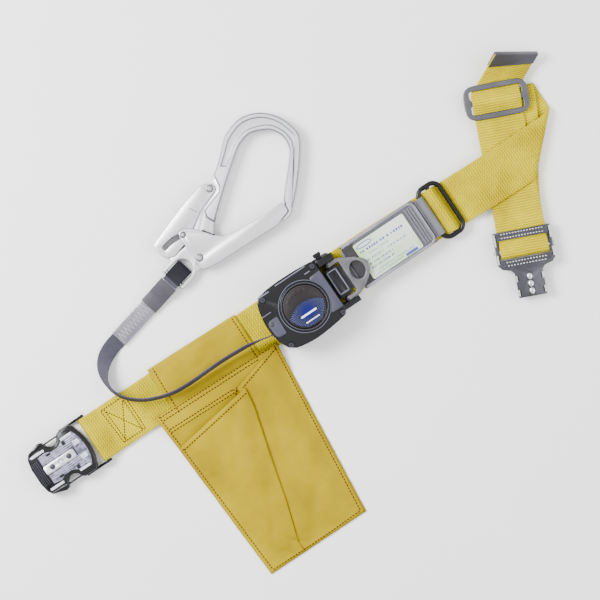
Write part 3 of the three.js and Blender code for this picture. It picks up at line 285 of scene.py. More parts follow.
def make_materials():
    MATERIALS.update(
        belt=webbing_material(
            "belt_webbing_weave", (0.93, 0.77, 0.0, 1), (0.28, 0.20, 0.0, 1),
            0.0027, 0.0021, 0.0007),
        strap=webbing_material(
            "strap_webbing_weave", rgb(88, 86, 98), rgb(44, 43, 54), 0.0013, 0.0011, 0.00015),
        vinyl=vinyl_material(),
        thread=plastic_material(
            "stitch_thread", rgb(62, 14, 26), 0.8, 0.00006, 0.4, scale=3000, shine=0.1),
        black=plastic_material("black_moulding", rgb(16, 16, 20), 0.32, 0.00003, 0.3),
        gloss=plastic_material(
            "black_gloss_moulding", rgb(10, 10, 15), 0.14, 0.00001, 0.3, shine=0.34),
        wire=plastic_material("black_wire_coating", rgb(8, 8, 11), 0.24, 0.00004, 0.3),
        smoke=plastic_material(
            "smoke_panel", rgb(136, 136, 160), 0.24, 0.00003, 0.86, coat=0.2, patches=240),
        steel=metal_material("plated_steel", rgb(84, 84, 90), 0.34, 0.00005, spread=0.3),
        rod=metal_material("bright_rod", rgb(200, 200, 206), 0.25, 0.00002),
        slide=metal_material("satin_slide_steel", rgb(104, 104, 110), 0.38, 0.00005, spread=0.25),
        dark=metal_material("dark_coated_steel", rgb(70, 70, 78), 0.42, 0.00005),
        alloy=metal_material("tumbled_alloy", rgb(240, 240, 245), 0.25, 0.00004, spread=0.05),
        # darker alloy for the hook's rounds and steep walls: painted shade
        alloy_edge=metal_material(
            "shaded_alloy_edge", rgb(122, 122, 132), 0.38, 0.00004, metal=0.85),
        bright=metal_material("worn_bright_steel", rgb(215, 215, 222), 0.28, 0.00003),
        tip=metal_material("grey_tip_steel", rgb(98, 98, 104), 0.42, 0.00005),
        cast=metal_material("cast_steel", rgb(118, 118, 122), 0.4, 0.0002, spread=0.4),
        disc=plastic_material("brown_grey_disc", rgb(28, 22, 24), 0.35, 0.00004, 0.25),
        violet=plastic_material("violet_grey_panel", rgb(64, 64, 80), 0.35, 0.00004, 0.2),
        # pale grey lines on black gloss parts: painted highlights along their rims and edges
        rim_line=plastic_material(
            "painted_grey_edge_highlight", rgb(104, 106, 122), 0.3, 0.00003, 0.35, coat=0.2),
        dark_edge=plastic_material("dark_worn_edge", rgb(46, 46, 58), 0.22, 0.00003, 0.35),
        smoke_rib=plastic_material(
            "smoke_rib", rgb(176, 176, 200), 0.2, 0.00002, 0.45, coat=0.4, patches=120),
        pale_bar=plastic_material("pale_rib", rgb(206, 208, 220), 0.3, 0.00002, 0.15, coat=0.3),
        plate=metal_material("pale_centre_plate", rgb(226, 226, 234), 0.35, 0.00003),
        print_white=plastic_material("white_print", rgb(235, 238, 250), 0.5, 0.00001, 0.05),
        print_blue=plastic_material("blue_print", rgb(70, 82, 160), 0.5, 0.00001, 0.15),
        film_edge=plastic_material(
            "sealed_film_edge", rgb(140, 142, 154), 0.14, 0.00004, 0.4, coat=1.0),
        collar=plastic_material("dark_soft_collar", rgb(58, 56, 64), 0.3, 0.00012, 0.35, coat=0.4),
        pale_thread=plastic_material("pale_thread", rgb(214, 212, 214), 0.7, 0.00005, 0.2),
        band_weave=webbing_material(
            "black_band_weave", rgb(52, 52, 58), rgb(16, 16, 20), 0.0016, 0.0012, 0.00022),
        # near black laid in grooves, sockets, a slit and round rivet heads: painted shade in
        # hollows
        recess=plastic_material("screw_recess", rgb(12, 12, 14), 0.5, 0.00002, 0.2),
    )


# ------------------------------------------------------------------ meshes
def add_object(name, mesh, material, body, smooth=True):
    piece = bpy.data.objects.new(name, mesh)
    bpy.context.collection.objects.link(piece)
    if material is not None:
        mesh.materials.append(MATERIALS[material] if isinstance(material, str) else material)
    if smooth:
        mesh.polygons.foreach_set("use_smooth", [True] * len(mesh.polygons))
    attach(piece, body)
    return piece


def mesh_from(name, points, faces, uvs=None):
    """A mesh from points in millimetres, with an optional (u, v) in millimetres for each point."""
    mesh = bpy.data.meshes.new(name)
    mesh.from_pydata([tuple(c * MM for c in p) for p in points], [], faces)
    if uvs:
        layer = mesh.uv_layers.new(name="UVMap")
        for loop in mesh.loops:
            u, v = uvs[loop.vertex_index]
            layer.data[loop.index].uv = (u * MM, v * MM)
    mesh.validate()
    return mesh


def facing_out(mesh):
    """Turns a closed mesh's faces outwards."""
    work = bmesh.new()
    work.from_mesh(mesh)
    bmesh.ops.recalc_face_normals(work, faces=work.faces)
    work.to_mesh(mesh)
    work.free()
    return mesh


def quads(rings, size, base=0, closed=False):
    """The faces between rings of size points each, that start at point number base."""
    faces = []
    for i in range(rings if closed else rings - 1):
        here, after = base + i * size, base + (i + 1) % rings * size
        for k in range(size):
            beside = (k + 1) % size
            faces.append((here + k, here + beside, after + beside, after + k))
    return faces


def caps(rings, size, base=0):
    """The faces that close the first and the last ring."""
    last = base + (rings - 1) * size
    return [tuple(range(base + size - 1, base - 1, -1)), tuple(range(last, last + size))]


# ------------------------------------------------------------------ webbing
# A station is (left edge, right edge, direction the face looks in), in millimetres.
EDGE = (0.0, 0.010, 0.035)
ACROSS = EDGE + tuple(0.1 + 0.1 * k for k in range(9)) + tuple(1 - e for e in reversed(EDGE))
CROWN = (0.25, 0.75, 1.0) + (1.0,) * 9 + (1.0, 0.75, 0.25)


def taut_route(stops, step=9, span=4):
    """The route of a taut strip over round stops (along, up, signed radius)."""
    def place(stop, heading):
        s, z, r = stop
        return (s + r * math.sin(heading), z - r * math.cos(heading), heading)

    headings = []
    for (s0, z0, r0), (s1, z1, r1) in zip(stops, stops[1:]):
        reach = math.hypot(s1 - s0, z1 - z0)
        headings.append(math.atan2(z1 - z0, s1 - s0) - math.asin((r1 - r0) / reach))
    route = []
    for i, stop in enumerate(stops):
        entry = headings[max(i - 1, 0)]
        leave = headings[min(i, len(headings) - 1)]
        route.append(place(stop, entry))
        if stop[2]:
            sense = math.copysign(1, stop[2])
            sweep = ((leave - entry) * sense) % (2 * math.pi)
            count = math.ceil(sweep / math.radians(step))
            route += [place(stop, entry + sense * sweep * k / count) for k in range(1, count + 1)]
        if i == len(stops) - 1:
            return route
        s0, z0, _ = route[-1]
        s1, z1, _ = place(stops[i + 1], leave)
        count = math.ceil(math.hypot(s1 - s0, z1 - z0) / span)
        route += [(s0 + (s1 - s0) * k / count, z0 + (z1 - z0) * k / count, leave)
                  for k in range(1, count)]


def stations_along(route, width, at, middle=lambda s: 0.0):
    """Stations on a route; at(across, along, up) gives the point in the object's frame."""
    along = at(0, 1, 0) - at(0, 0, 0)
    up = Vector((0, 0, 1))
    return [(at(middle(s) - width / 2, s, z), at(middle(s) + width / 2, s, z),
             along * -math.sin(heading) + up * math.cos(heading)) for s, z, heading in route]


def smooth_step(value, low, high):
    t = min(max((value - low) / (high - low), 0.0), 1.0)
    return t * t * (3 - 2 * t)


def resample(stations, spacing):
    """Fills in stations so that their middles stand no further apart than spacing."""
    filled = [stations[0]]
    for before, after in zip(stations, stations[1:]):
        gap = ((after[0] + after[1]) - (before[0] + before[1])).length / 2
        count = max(1, math.ceil(gap / spacing))
        for k in range(1, count + 1):
            share = k / count
            filled.append(tuple(a.lerp(b, share) for a, b in zip(before, after)))
    return filled


def soften(stations, rounds):
    """Rounds the kinks along a strip."""
    for _ in range(rounds):
        eased = [stations[0]]
        for before, here, after in zip(stations, stations[1:], stations[2:]):
            eased.append(tuple((a + h * 2 + b) / 4 for a, h, b in zip(before, here, after)))
        stations = eased + [stations[-1]]
    return stations


def ribbon(name, stations, width, thick, nick=0.0, pitch=1.8):
    """A strip of webbing as a closed mesh with thinned edges and a fine nicked selvedge."""
    points, uvs = [], []
    lengths = [0.0, 0.0]
    last = stations[0]
    for left, right, facing in stations:
        lengths = [so_far + (here - before).length
                   for so_far, here, before in zip(lengths, (left, right), last)]
        last = (left, right)
        facing = facing.normalized()
        side = (right - left).normalized()
        out = side * nick * math.sin(2 * math.pi * lengths[0] / pitch)
        row = [(t, c, 1) for t, c in zip(ACROSS, CROWN)]
        row += [(t, c, -1) for t, c in reversed(list(zip(ACROSS, CROWN)))]
        for t, crown, sign in row:
            point = left.lerp(right, t) + facing * (sign * crown * thick / 2)
            if t in (0.0, 1.0):
                point = point + out * (1 if t else -1)
            points.append(point)
            uvs.append((t * width, lengths[0] + (lengths[1] - lengths[0]) * t))
    shape = len(stations), 2 * len(ACROSS)
    return facing_out(mesh_from(name, points, quads(*shape) + caps(*shape), uvs))


# ------------------------------------------------------------------ the belt's route
BELT_WIDTH, BELT_THICK, BELT_Y, BELT_DRIFT, BELT_Z = 50, 2, 6.5, -4, 3.6
SEWN_Z, SEWN_END = 1.3, -203
WEB_BAR = (-253, 6, 2.5)  # x, z and radius of the bar in the socket buckle
RING_LEFT, RING_MIDDLE, RING_RIGHT, RING_Z, RING_R = 157.5, 170.5, 182, 9.6, 2.5
BAR_GAP, RING_GAP = 0.3, 0.4  # between the webbing and the bar it goes round
FOLD_HIGH, FOLD_LOW, BACK_LAYER, FRONT_LAYER = 10.7, 1.3, 5.3, 8
TONGUE_X, TONGUE_Y, TONGUE_TURN = 225, -61, math.radians(-23)
ADJUST_BAR_Y, ADJUST_BAR_Z, ADJUST_BAR_R, ADJUST_TRAVEL = -15, 7, 3, 2.5
SLIDE_Y, SLIDE_LOW, SLIDE_BEND, SLIDE_UNDER, SLIDE_OVER = 139, 9.4, 12.3, 2.9, 4.6
TAIL_LEFT, TAIL_RIGHT, TAIL_BENT = (301, 105.5, 30), (339.5, 82.5, 11.5), 0.6


def strap_point(x, y, z):
    """A point of the doubled strap's own frame (x across it, y up along it)."""
    c, s = math.cos(TONGUE_TURN), math.sin(TONGUE_TURN)
    return Vector((TONGUE_X + x * c - y * s, TONGUE_Y + x * s + y * c, z))


def strap_frame(point):
    """A point's x and y in the doubled strap's own frame."""
    c, s = math.cos(TONGUE_TURN), math.sin(TONGUE_TURN)
    dx, dy = point.x - TONGUE_X, point.y - TONGUE_Y
    return dx * c + dy * s, dy * c - dx * s


def belt_point(across, along, up):
    return Vector((along, BELT_Y - across, up))


def belt_wander(x):
    return -BELT_DRIFT * smooth_step(x, 90, 250)


def main_belt():
    bar_x, bar_z, bar_r = WEB_BAR
    under = RING_Z - BELT_Z
    route = taut_route([
        (SEWN_END, SEWN_Z, 0), (-236, SEWN_Z, 0),
        (bar_x, bar_z, -(bar_r + BAR_GAP + BELT_THICK / 2)), (-234, BELT_Z + 12, 12),
        (RING_LEFT, RING_Z, under), (RING_MIDDLE, RING_Z, -(RING_R + RING_GAP + BELT_THICK / 2)),
        (RING_RIGHT, RING_Z, under), (214, FOLD_HIGH - 20, -20), (252, FOLD_HIGH, 0),
    ])
    return stations_along(route, BELT_WIDTH, belt_point, belt_wander)


def fold(outward, start, edges, low, high, steps=24):
    """A soft fold of a flat strip over a slanting line."""
    radius = abs(high - low) / 2
    rise = math.copysign(1, high - low)
    out = Vector((*outward, 0))
    stations = []
    for k in range(steps + 1):
        bend = math.pi * k / steps
        reach = start + radius * bend
        shift = start + radius * math.sin(bend) - reach
        height = Vector((0, 0, low + rise * radius * (1 - math.cos(bend))))
        left, right = (Vector((*p, 0)) + out * shift + height for p in edges(reach))
        facing = out * math.sin(bend) + Vector((0, 0, -rise * math.cos(bend)))
        stations.append((left, right, facing))
    return stations


def curl():
    """The belt's two folds: down over its right edge, then up beneath the doubled strap."""
    half, y = BELT_WIDTH / 2, BELT_Y + BELT_DRIFT
    diagonal = math.sqrt(0.5)
    first = fold((diagonal, -diagonal), 200,
                 lambda reach: ((reach / diagonal + y + half, y + half),
                                (reach / diagonal + y - half, y - half)), FOLD_HIGH, FOLD_LOW)
    left, right, _ = first[-1]
    angle = math.pi / 2 + TONGUE_TURN / 2
    out = (math.cos(angle), math.sin(angle))

    def on_line(x, reach):
        return (x, (reach - out[0] * x) / out[1])

    second = fold(out, 121, lambda reach: (on_line(left.x, reach), on_line(right.x, reach)),
                  FOLD_LOW, BACK_LAYER)
    return first + second


def doubled_strap(first_line):
    """From the fold to the adjuster bar, round it, and back up through the slide."""
    left, right, _ = first_line
    start_across = (strap_frame(left)[0] + strap_frame(right)[0]) / 2
    start_along = min(strap_frame(left)[1], strap_frame(right)[1]) - 2
    around = ADJUST_BAR_R + BAR_GAP + BELT_THICK / 2
    loop = -ADJUST_BAR_Y + ADJUST_TRAVEL
    route = taut_route([
        (-start_along, BACK_LAYER, 0), (-8, BACK_LAYER, 0),
        (loop, ADJUST_BAR_Z, around), (loop - 3, ADJUST_BAR_Z, around),
        (3.5, FRONT_LAYER + 10, -10),
        (-SLIDE_Y + SLIDE_BEND, FRONT_LAYER + SLIDE_UNDER, -SLIDE_UNDER),
        (-SLIDE_Y, SLIDE_LOW, SLIDE_OVER),
        (-SLIDE_Y - SLIDE_BEND, FRONT_LAYER + SLIDE_UNDER, -SLIDE_UNDER),
        (-SLIDE_Y - 16, FRONT_LAYER, 0),
    ])
    stations = stations_along(route, BELT_WIDTH, lambda a, s, z: strap_point(-a, -s, z))
    turned = next(i for i, station in enumerate(stations) if station[2].z < 0)
    placed = []
    for i, (left, right, facing) in enumerate(stations):
        along = strap_frame(left)[1]
        drift = (start_across * smooth_step(along, 20, start_along) if i < turned
                 else 9 * smooth_step(along, SLIDE_Y + 9, SLIDE_Y + 20))
        shift = strap_point(drift, 0, 0) - strap_point(0, 0, 0)
        placed.append((left + shift, right + shift, facing))
    return placed


def tail_line(last_line, share):
    """The two edges of the free end, which bends up from the slide and then runs straight."""
    bent = TAIL_BENT
    lift = share ** 2 / (bent * (2 - bent)) if share < bent else (2 * share - bent) / (2 - bent)

    def edge(start, end):
        return Vector((start.x + (end[0] - start.x) * share, start.y + (end[1] - start.y) * share,
                       start.z + (end[2] - start.z) * lift))

    return edge(last_line[1], TAIL_LEFT), edge(last_line[0], TAIL_RIGHT)


def tail(last_line, shares):
    stations = []
    for share in shares:
        left, right = tail_line(last_line, share)
        next_left, next_right = tail_line(last_line, share + 0.02)
        travel = next_left + next_right - left - right
        stations.append((right, left, travel.cross(right - left).normalized()))
    return stations


def make_belt():
    main, turn = main_belt(), curl()
    doubled = doubled_strap(turn[-1])
    end = tail(doubled[-1], [0.02 * k for k in range(4, 51)])
    route = soften(resample(main + turn + doubled + end, 0.9), 4)
    mesh = ribbon("belt_webbing", route, BELT_WIDTH, BELT_THICK, 0.14)
    belt = add_object("belt_webbing", mesh, "belt", "belt")
    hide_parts("waist_belt")
    return belt


# ------------------------------------------------------------------ the lanyard strap
STRAP_WIDTH, STRAP_THICK = 17, 1.4
HOOK_Z = 8.2  # the height of the hook's middle plane
EYE_X, EYE_Y, EYE_TURN = -82.5, 100.8, math.radians(14)
LOOP_BAR, LOOP_END, LOOP_R = -13.2, -2, 4.2
LAYERS = (1.4, 3.2)  # heights of the two layers sewn together behind the eye
STRAP_LEAN = 11  # degrees by which the free strap leans over where it runs on its edge
# Where the strap lies: x, y, turn from upright to flat in degrees, height of its lower edge.
STRAP_ROUTE = (
    (-27, -8.2, 0, 13.4), (-44.6, -6, 0, 13.2), (-56, -3.6, 0, 12.6), (-70, -1.2, 0, 11.8),
    (-85, -0.2, 0, 11), (-100, 0.4, 0, 10.2), (-120, 0.1, 0, 9.4), (-140, -0.4, 0, 8.6),
    (-157, 0.6, 0, 8), (-172, 4.2, 0, 7.6), (-186, 9.8, 0, 7.2), (-197.5, 17.6, 0, 7),
    (-205.8, 26.6, 2, 6.2), (-210.8, 37.5, 6, 4.4), (-211.4, 48, 18, 1.5), (-208.4, 57.5, 38, 0.5),
    (-202.8, 65.2, 58, 0.3), (-195, 71.1, 76, 0.4), (-184.5, 75.4, 90, 0.6),
    (-172.5, 78.3, 90, 0.7),
)


def spline(rows, steps):
    """Catmull-Rom through rows of numbers."""
    padded = [rows[0], *rows, rows[-1]]
    made = []
    for a, b, c, d in zip(padded, padded[1:], padded[2:], padded[3:]):
        for k in range(steps):
            t = k / steps
            made.append(tuple(
                0.5 * (2 * q + (r - p) * t + (2 * p - 5 * q + 4 * r - s) * t ** 2
                       + (3 * q - p - 3 * r + s) * t ** 3) for p, q, r, s in zip(a, b, c, d)))
    return made + [rows[-1]]


def free_strap():
    """The strap from the reel's mouth to where it lies flat before the hook."""
    rows = spline(STRAP_ROUTE, 10)
    stations = []
    for i, (x, y, degrees, lift) in enumerate(rows):
        before, after = rows[max(i - 1, 0)], rows[min(i + 1, len(rows) - 1)]
        travel = Vector((after[0] - before[0], after[1] - before[1], 0)).normalized()
        turn = math.radians(max(degrees, STRAP_LEAN * smooth_step(-x, 45, 80)))
        up = Vector((0, 0, 1))
        half = (up * math.cos(turn) + travel.cross(up) * math.sin(turn)) * (STRAP_WIDTH / 2)
        middle = lift + (STRAP_WIDTH * math.cos(turn) + STRAP_THICK * math.sin(turn)) / 2
        centre = Vector((x, y, middle))
        stations.append((centre - half, centre + half, half.cross(travel).normalized()))
    return stations


def eye_point(v, u, z):
    """A point of the eye's own frame: u along the strap towards the hook, v across it."""
    c, s = math.cos(EYE_TURN), math.sin(EYE_TURN)
    return Vector((EYE_X + u * c - v * s, EYE_Y + u * s + v * c, z))


def towards_eye(side, u, z):
    return eye_point(-side, u, z)


def end_loop(radius, start):
    return [(start, HOOK_Z - radius, 0), (LOOP_END, HOOK_Z, radius), (start, HOOK_Z + radius, 0)]


def make_strap():
    route = taut_route([(-84, LAYERS[0], 0), (-37, LAYERS[0], 0), *end_loop(LOOP_R, LOOP_BAR - 2),
                        (-38, LAYERS[1], 0), (-93, LAYERS[1], 0)])
    free = free_strap()
    lines = soften(resample(free + stations_along(route, STRAP_WIDTH, towards_eye), 0.8), 3)
    mesh = ribbon("strap_webbing", lines, STRAP_WIDTH, STRAP_THICK, 0.08, 1.3)
    strap = add_object("strap_webbing", mesh, "strap", "belt")
    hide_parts("lanyard_strap")
    fittings = make_strap_fittings()

    path = [(left + right) / 2 for left, right, _ in resample(free, 3)]
    sewn = (LAYERS[0] + LAYERS[1]) / 2
    path += [eye_point(0, u, sewn + (HOOK_Z - sewn) * smooth_step(u, -38, -14))
             for u in range(-82, int(LOOP_END + LOOP_R), 3)]


# ------------------------------------------------------------------ cloth panels
def cloth(name, rows):
    """A cloth from a grid of middle points in millimetres, given a thickness and a turned rim."""
    across = len(rows[0])
    points = [Vector(p) for row in rows for p in row]
    flat = bpy.data.meshes.new(name)
    faces = [(across * i + j, across * i + j + 1, across * (i + 1) + j + 1, across * (i + 1) + j)
             for i in range(len(rows) - 1) for j in range(across - 1)]
    flat.from_pydata([tuple(p * MM) for p in points], [], faces)
    normals = [Vector(v.normal) for v in flat.vertices]
    bpy.data.meshes.remove(flat)
    last_row, last_column = len(rows) - 1, across - 1
    body_points, count = [], len(points)
    for sign in (1, -1):
        for k, (point, normal) in enumerate(zip(points, normals)):
            i, j = divmod(k, across)
            rim = i in (0, last_row) or j in (0, last_column)
            body_points.append(point + normal * (sign * CLOTH * (0.28 if rim else 0.5)))
    shell = list(faces) + [tuple(count + k for k in reversed(face)) for face in faces]
    rim = [(0, j) for j in range(across)] + [(i, last_column) for i in range(1, last_row + 1)]
    rim += [(last_row, j) for j in range(last_column - 1, -1, -1)]
    rim += [(i, 0) for i in range(last_row - 1, 0, -1)]
    loop = [across * i + j for i, j in rim]
    shell += [(b, a, a + count, b + count) for a, b in zip(loop, loop[1:] + loop[:1])]
    mesh = facing_out(mesh_from(name, body_points, shell))
    return add_object(name, mesh, "vinyl", "pouch")


def lerp(low, high, share):
    return low + (high - low) * share


def along_line(points, share):
    """A point at that share of a polyline, its pieces counted by their length."""
    steps = [(Vector(b) - Vector(a)).length for a, b in zip(points, points[1:])]
    left = share * sum(steps)
    for a, b, step in zip(points, points[1:], steps):
        if left <= step or b is points[-1]:
            return Vector(a).lerp(Vector(b), left / step)
        left -= step
    return Vector(points[-1])


def wrinkle(x, y, size, seed=0.0):
    return noise.noise(Vector((x / size, y / size, seed)))


# ------------------------------------------------------------------ the pouch
POUCH_TOP_LEFT, POUCH_TOP_RIGHT = (-190, -10.5), (-44.5, -14.5)
POUCH_LOW_LEFT, POUCH_LOW_RIGHT = (-180, -209), (-63.5, -209)
PANEL_Z, HEM_Z = 1.0, 6.9  # height of the back panel on the table, and of its hem on the belt
CLOTH, PLEAT = 1.1, 7.0  # thickness of the cloth, and the pleat's greatest depth
TUNNEL_X, TUNNEL_TOP, TUNNEL_LOW = (-170, -64.5), 34.6, -20.5
CREASE = ((-96.5, -36), (-99, -55), (-106, -80), (-114, -108), (-126, -155), (-139, -196))
LEFT_MOUTH, RIGHT_MOUTH = ((-187.6, -50), (-96, -35.5)), ((-104, -31), (-46.5, -15.5))


def side_x(y, inset=0.0):
    """The pouch's left and right sides at that height."""
    share = (y - POUCH_TOP_LEFT[1]) / (POUCH_LOW_LEFT[1] - POUCH_TOP_LEFT[1])
    left = lerp(POUCH_TOP_LEFT[0], POUCH_LOW_LEFT[0], share)
    right = lerp(POUCH_TOP_RIGHT[0], POUCH_LOW_RIGHT[0], share)
    return left + inset, right - inset


def crease_x(y):
    """Where the pleat's crease runs at that height."""
    if y >= CREASE[0][1]:
        return CREASE[0][0]
    for (x0, y0), (x1, y1) in zip(CREASE, CREASE[1:]):
        if y >= y1:
            return lerp(x0, x1, (y - y0) / (y1 - y0))
    return CREASE[-1][0]


def back_panel():
    """The pouch's back, lifted on to the belt at its top."""
    rows = []
    for i in range(91):
        v = i / 90
        row = []
        for j in range(61):
            u = j / 60
            x = lerp(lerp(POUCH_TOP_LEFT[0], POUCH_TOP_RIGHT[0], u),
                     lerp(POUCH_LOW_LEFT[0], POUCH_LOW_RIGHT[0], u), v)
            y = lerp(lerp(POUCH_TOP_LEFT[1], POUCH_TOP_RIGHT[1], u), POUCH_LOW_LEFT[1], v)
            on_belt = smooth_step(y, -52, -24)
            seam = 0.5 * smooth_step(y, -35.2, -34.4) * (1 - smooth_step(x, -110, -104))
            z = lerp(PANEL_Z, HEM_Z, on_belt) + seam + on_belt * 0.25 * wrinkle(x, y, 14, 3)
            z += 0.25 * abs(wrinkle(x, y, 25, 5)) * (1 - on_belt)
            row.append((x + 0.25 * wrinkle(x, y, 9, 1), y + 0.2 * wrinkle(x, y, 7, 2), z))
        rows.append(row)
    return cloth("pouch_back_cloth", rows)


def tunnel():
    """The flap that goes round the belt: up behind it, over its top edge and down in front."""
    profile = [(TUNNEL_LOW - 1 + k * 3.0, 0.9) for k in range(19)]
    turn_y, low, high = TUNNEL_TOP - 2.6, 0.9, 5.75
    middle, radius = (low + high) / 2, (high - low) / 2
    profile += [(turn_y + 2.1 * math.sin(a), middle - radius * math.cos(a))
                for a in (math.pi * k / 12 for k in range(1, 12))]
    profile += [(turn_y - k * 1.1, high) for k in range(48)]
    rows = []
    for i in range(54):
        x = lerp(*TUNNEL_X, i / 53)
        slant = lerp(0.6, -1.6, i / 53)
        row = []
        for k, (y, z) in enumerate(profile):
            if k > 30:
                seam = min(abs(x - TUNNEL_X[0] - 4.2), abs(x - TUNNEL_X[1] + 4.6))
                z += 0.35 * wrinkle(x, y * 2.2, 16, 8) - 0.3 * math.exp(-(seam / 1.6) ** 2)
                swell = math.exp(-((x + 118) / 26) ** 2)
                z += 0.3 * swell * math.sin(y / 3.1 + 1.5 * wrinkle(x, y, 20, 9))
            row.append((x + 0.3 * wrinkle(y, x, 8, 4), y + slant * smooth_step(y, 0, 34), z))
        rows.append(row)
    return cloth("pouch_tunnel_cloth", rows)


def bag_height(x, y):
    """How high the front of the bag stands: flat along its seams, full in the middle."""
    left, right = side_x(y)
    to_side = min(x - left, right - x)
    to_low = y - POUCH_LOW_LEFT[1]
    rise = smooth_step(to_side, 5.2, 26) ** 0.8 * smooth_step(to_low, 5.0, 34) ** 0.8
    pucker = math.exp(-((to_side - 8) / 6) ** 2) * wrinkle(y, 0, 5, 11)
    pucker += math.exp(-((to_low - 10) / 8) ** 2) * wrinkle(x, 0, 6, 12)
    folds = 1.5 * wrinkle(x - 0.55 * y, (y + 0.3 * x) / 2.6, 17, 6) + 0.5 * wrinkle(x, y, 12, 7)
    gather = math.exp(-(((x + 146) / 17) ** 2 + ((y + 196) / 9) ** 2))
    crumple = 1.5 * gather * math.sin((x + 0.8 * y) / 2.9 + 2 * wrinkle(x, y, 9, 13))
    valley = -1.5 * math.exp(-(((x + 150) - (y + 165) * 0.62) / 5.5) ** 2)
    valley *= smooth_step(-abs(y + 175), -30, 0)
    return 2.15 + rise * (5.8 + folds + valley) + rise ** 0.5 * crumple + 0.45 * pucker


def front_panel():
    """The front of the bag: one cloth with a pleat that lies over towards the right."""
    ground = []
    columns = [("left", j / 59) for j in range(60)]
    columns += [("fold", k / 8) for k in range(1, 8)]
    columns += [("right", j / 39) for j in range(40)]
    count = 110
    for i in range(count + 1):
        v = i / count
        row = []
        for part, share in columns:
            mouth_share = {"left": 1.0, "fold": 1 - share, "right": 0.0}[part]
            left_top = lerp(LEFT_MOUTH[0][1], LEFT_MOUTH[1][1], share if part == "left" else 1)
            right_top = lerp(RIGHT_MOUTH[0][1], RIGHT_MOUTH[1][1], share if part == "right" else 0)
            top = lerp(right_top, left_top, mouth_share)
            y = lerp(top, POUCH_LOW_LEFT[1] + 1.2, v)
            lay = (1 - smooth_step(-y, 40, 190)) ** 1.2
            depth = PLEAT * lay
            crease = crease_x(y)
            left, right = side_x(y, 1.6)
            if part == "left":
                x = lerp(left, crease, share)
                layer = 2.1 * lay * smooth_step(x, crease - 34, crease - 4)
                layer += 0.8 * math.exp(-((crease - x) / 5) ** 2) * smooth_step(-y, 60, 120)
            elif part == "fold":
                turn = math.sin(math.pi * share) * 0.5
                x = lerp(crease, crease - depth, share) + turn * lay
                layer = lerp(2.1, 0.2, share) * lay
            else:
                x = lerp(crease - depth, right, share)
                layer = -0.7 * math.exp(-((x - crease - 1.5) / 4.5) ** 2) * smooth_step(-y, 45, 100)
            z = bag_height(x, y) + layer
            near_mouth = top - y
            hem = 0.5 * (1 - smooth_step(near_mouth, 4.6, 5.4))
            z += hem - 0.3 * math.exp(-((near_mouth - 4.2) / 0.7) ** 2)
            z += 0.9 * math.exp(-(near_mouth / 16) ** 2)
            row.append((x, y, z))
        ground.append(row)
    return cloth("pouch_front_cloth", ground)


def make_pouch():
    back, loop, front = back_panel(), tunnel(), front_panel()
    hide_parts("pouch_back")
    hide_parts("pouch_front")
    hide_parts("pouch_back")
    return [back, loop, front]


# ------------------------------------------------------------------ stitching
def tree_over(pieces):
    """A search tree over several rest-pose meshes, in millimetres."""
    points, faces = [], []
    for piece in pieces:
        start = len(points)
        points += [v.co / MM for v in piece.data.vertices]
        faces += [[start + k for k in face.vertices] for face in piece.data.polygons]
    return BVHTree.FromPolygons(points, faces)


def on_top(tree, x, y):
    """The height of what lies under that point, or a cloth's own height over nothing."""
    hit = tree.ray_cast(Vector((x, y, 60)), Vector((0, 0, -1)))
    return hit[0].z if hit[0] else 1.0


STITCH_RING = 6  # points round a thread
# Along a stitch: the share of its length, its thickness and its height, both in thread thicknesses.
STITCH_PROFILE = ((0, 0.35, -0.7), (0.18, 0.9, 0.15), (0.5, 1.0, 0.45), (0.82, 0.9, 0.15),
                  (1, 0.35, -0.7))


def stitch_mesh(name, stitches, thick):
    """Short threads from point to point, each dipping into the cloth at its ends."""
    points, faces = [], []
    for start, end in stitches:
        heading = (end - start).normalized()
        side = heading.cross(Vector((0, 0, 1))).normalized()
        up = side.cross(heading)
        base = len(points)
        for share, size, lift in STITCH_PROFILE:
            centre = start.lerp(end, share) + up * (lift * thick / 2)
            for k in range(STITCH_RING):
                angle = 2 * math.pi * k / STITCH_RING
                points.append(centre + (side * math.cos(angle) + up * (math.sin(angle) * 0.8))
                              * (size * thick / 2))
        shape = len(STITCH_PROFILE), STITCH_RING, base
        faces += quads(*shape) + caps(*shape)
    return facing_out(mesh_from(name, points, faces))


def seam(tree, line, pitch=3.4, gap=0.45):
    """Stitches along a line of (x, y) points, laid on whatever is under them."""
    line = [Vector(p) for p in line]
    total = sum((b - a).length for a, b in zip(line, line[1:]))
    count = max(1, round(total / pitch))
    stitches = []
    for k in range(count):
        spots = []
        for share in ((k + gap / pitch / 2) / count, (k + 1 - gap / pitch / 2) / count):
            spot = along_line(line, share)
            wobble = random.uniform(-0.12, 0.12)
            height = on_top(tree, spot.x, spot.y)
            spots.append(Vector((spot.x + wobble, spot.y + wobble, height)))
        stitches.append(tuple(spots))
    return stitches


def add_stitches(name, stitches, body, thick=1.05, material="thread"):
    return add_object(name, stitch_mesh(name, stitches, thick), material, body)


def make_pouch_stitches(cloths):
    tree = tree_over(cloths)
    seams = [
        [(-164, 34.4), (-165.5, 10), (-166.4, -19.5)], [(-68.6, 32), (-69.4, -17.6)],
        [(-187, -12.9), (-120, -14), (-53, -15.8)], [(-185, -17.4), (-120, -18.3), (-69, -19)],
        [(-185, -28.4), (-108.5, -30)], [(-185, -31.8), (-108, -33.6)],
        [(-109, -29.5), (-102, -36.5)], [(-109, -36.5), (-103, -30)],
        [(-187.4, -54.4), (-140, -47.2), (-98, -40.4)],
        [(-100, -34.6), (-75, -27.2), (-47.5, -19.2)],
        [(-186.2, -10.6), (-184, -55), (-176, -205)], [(-48, -16), (-68.4, -205)],
        [(-176, -206), (-120, -206.4), (-68.6, -205.2)],
    ]
    stitches = [stitch for line in seams for stitch in seam(tree, line)]
    add_stitches("pouch_stitches", stitches, "pouch")


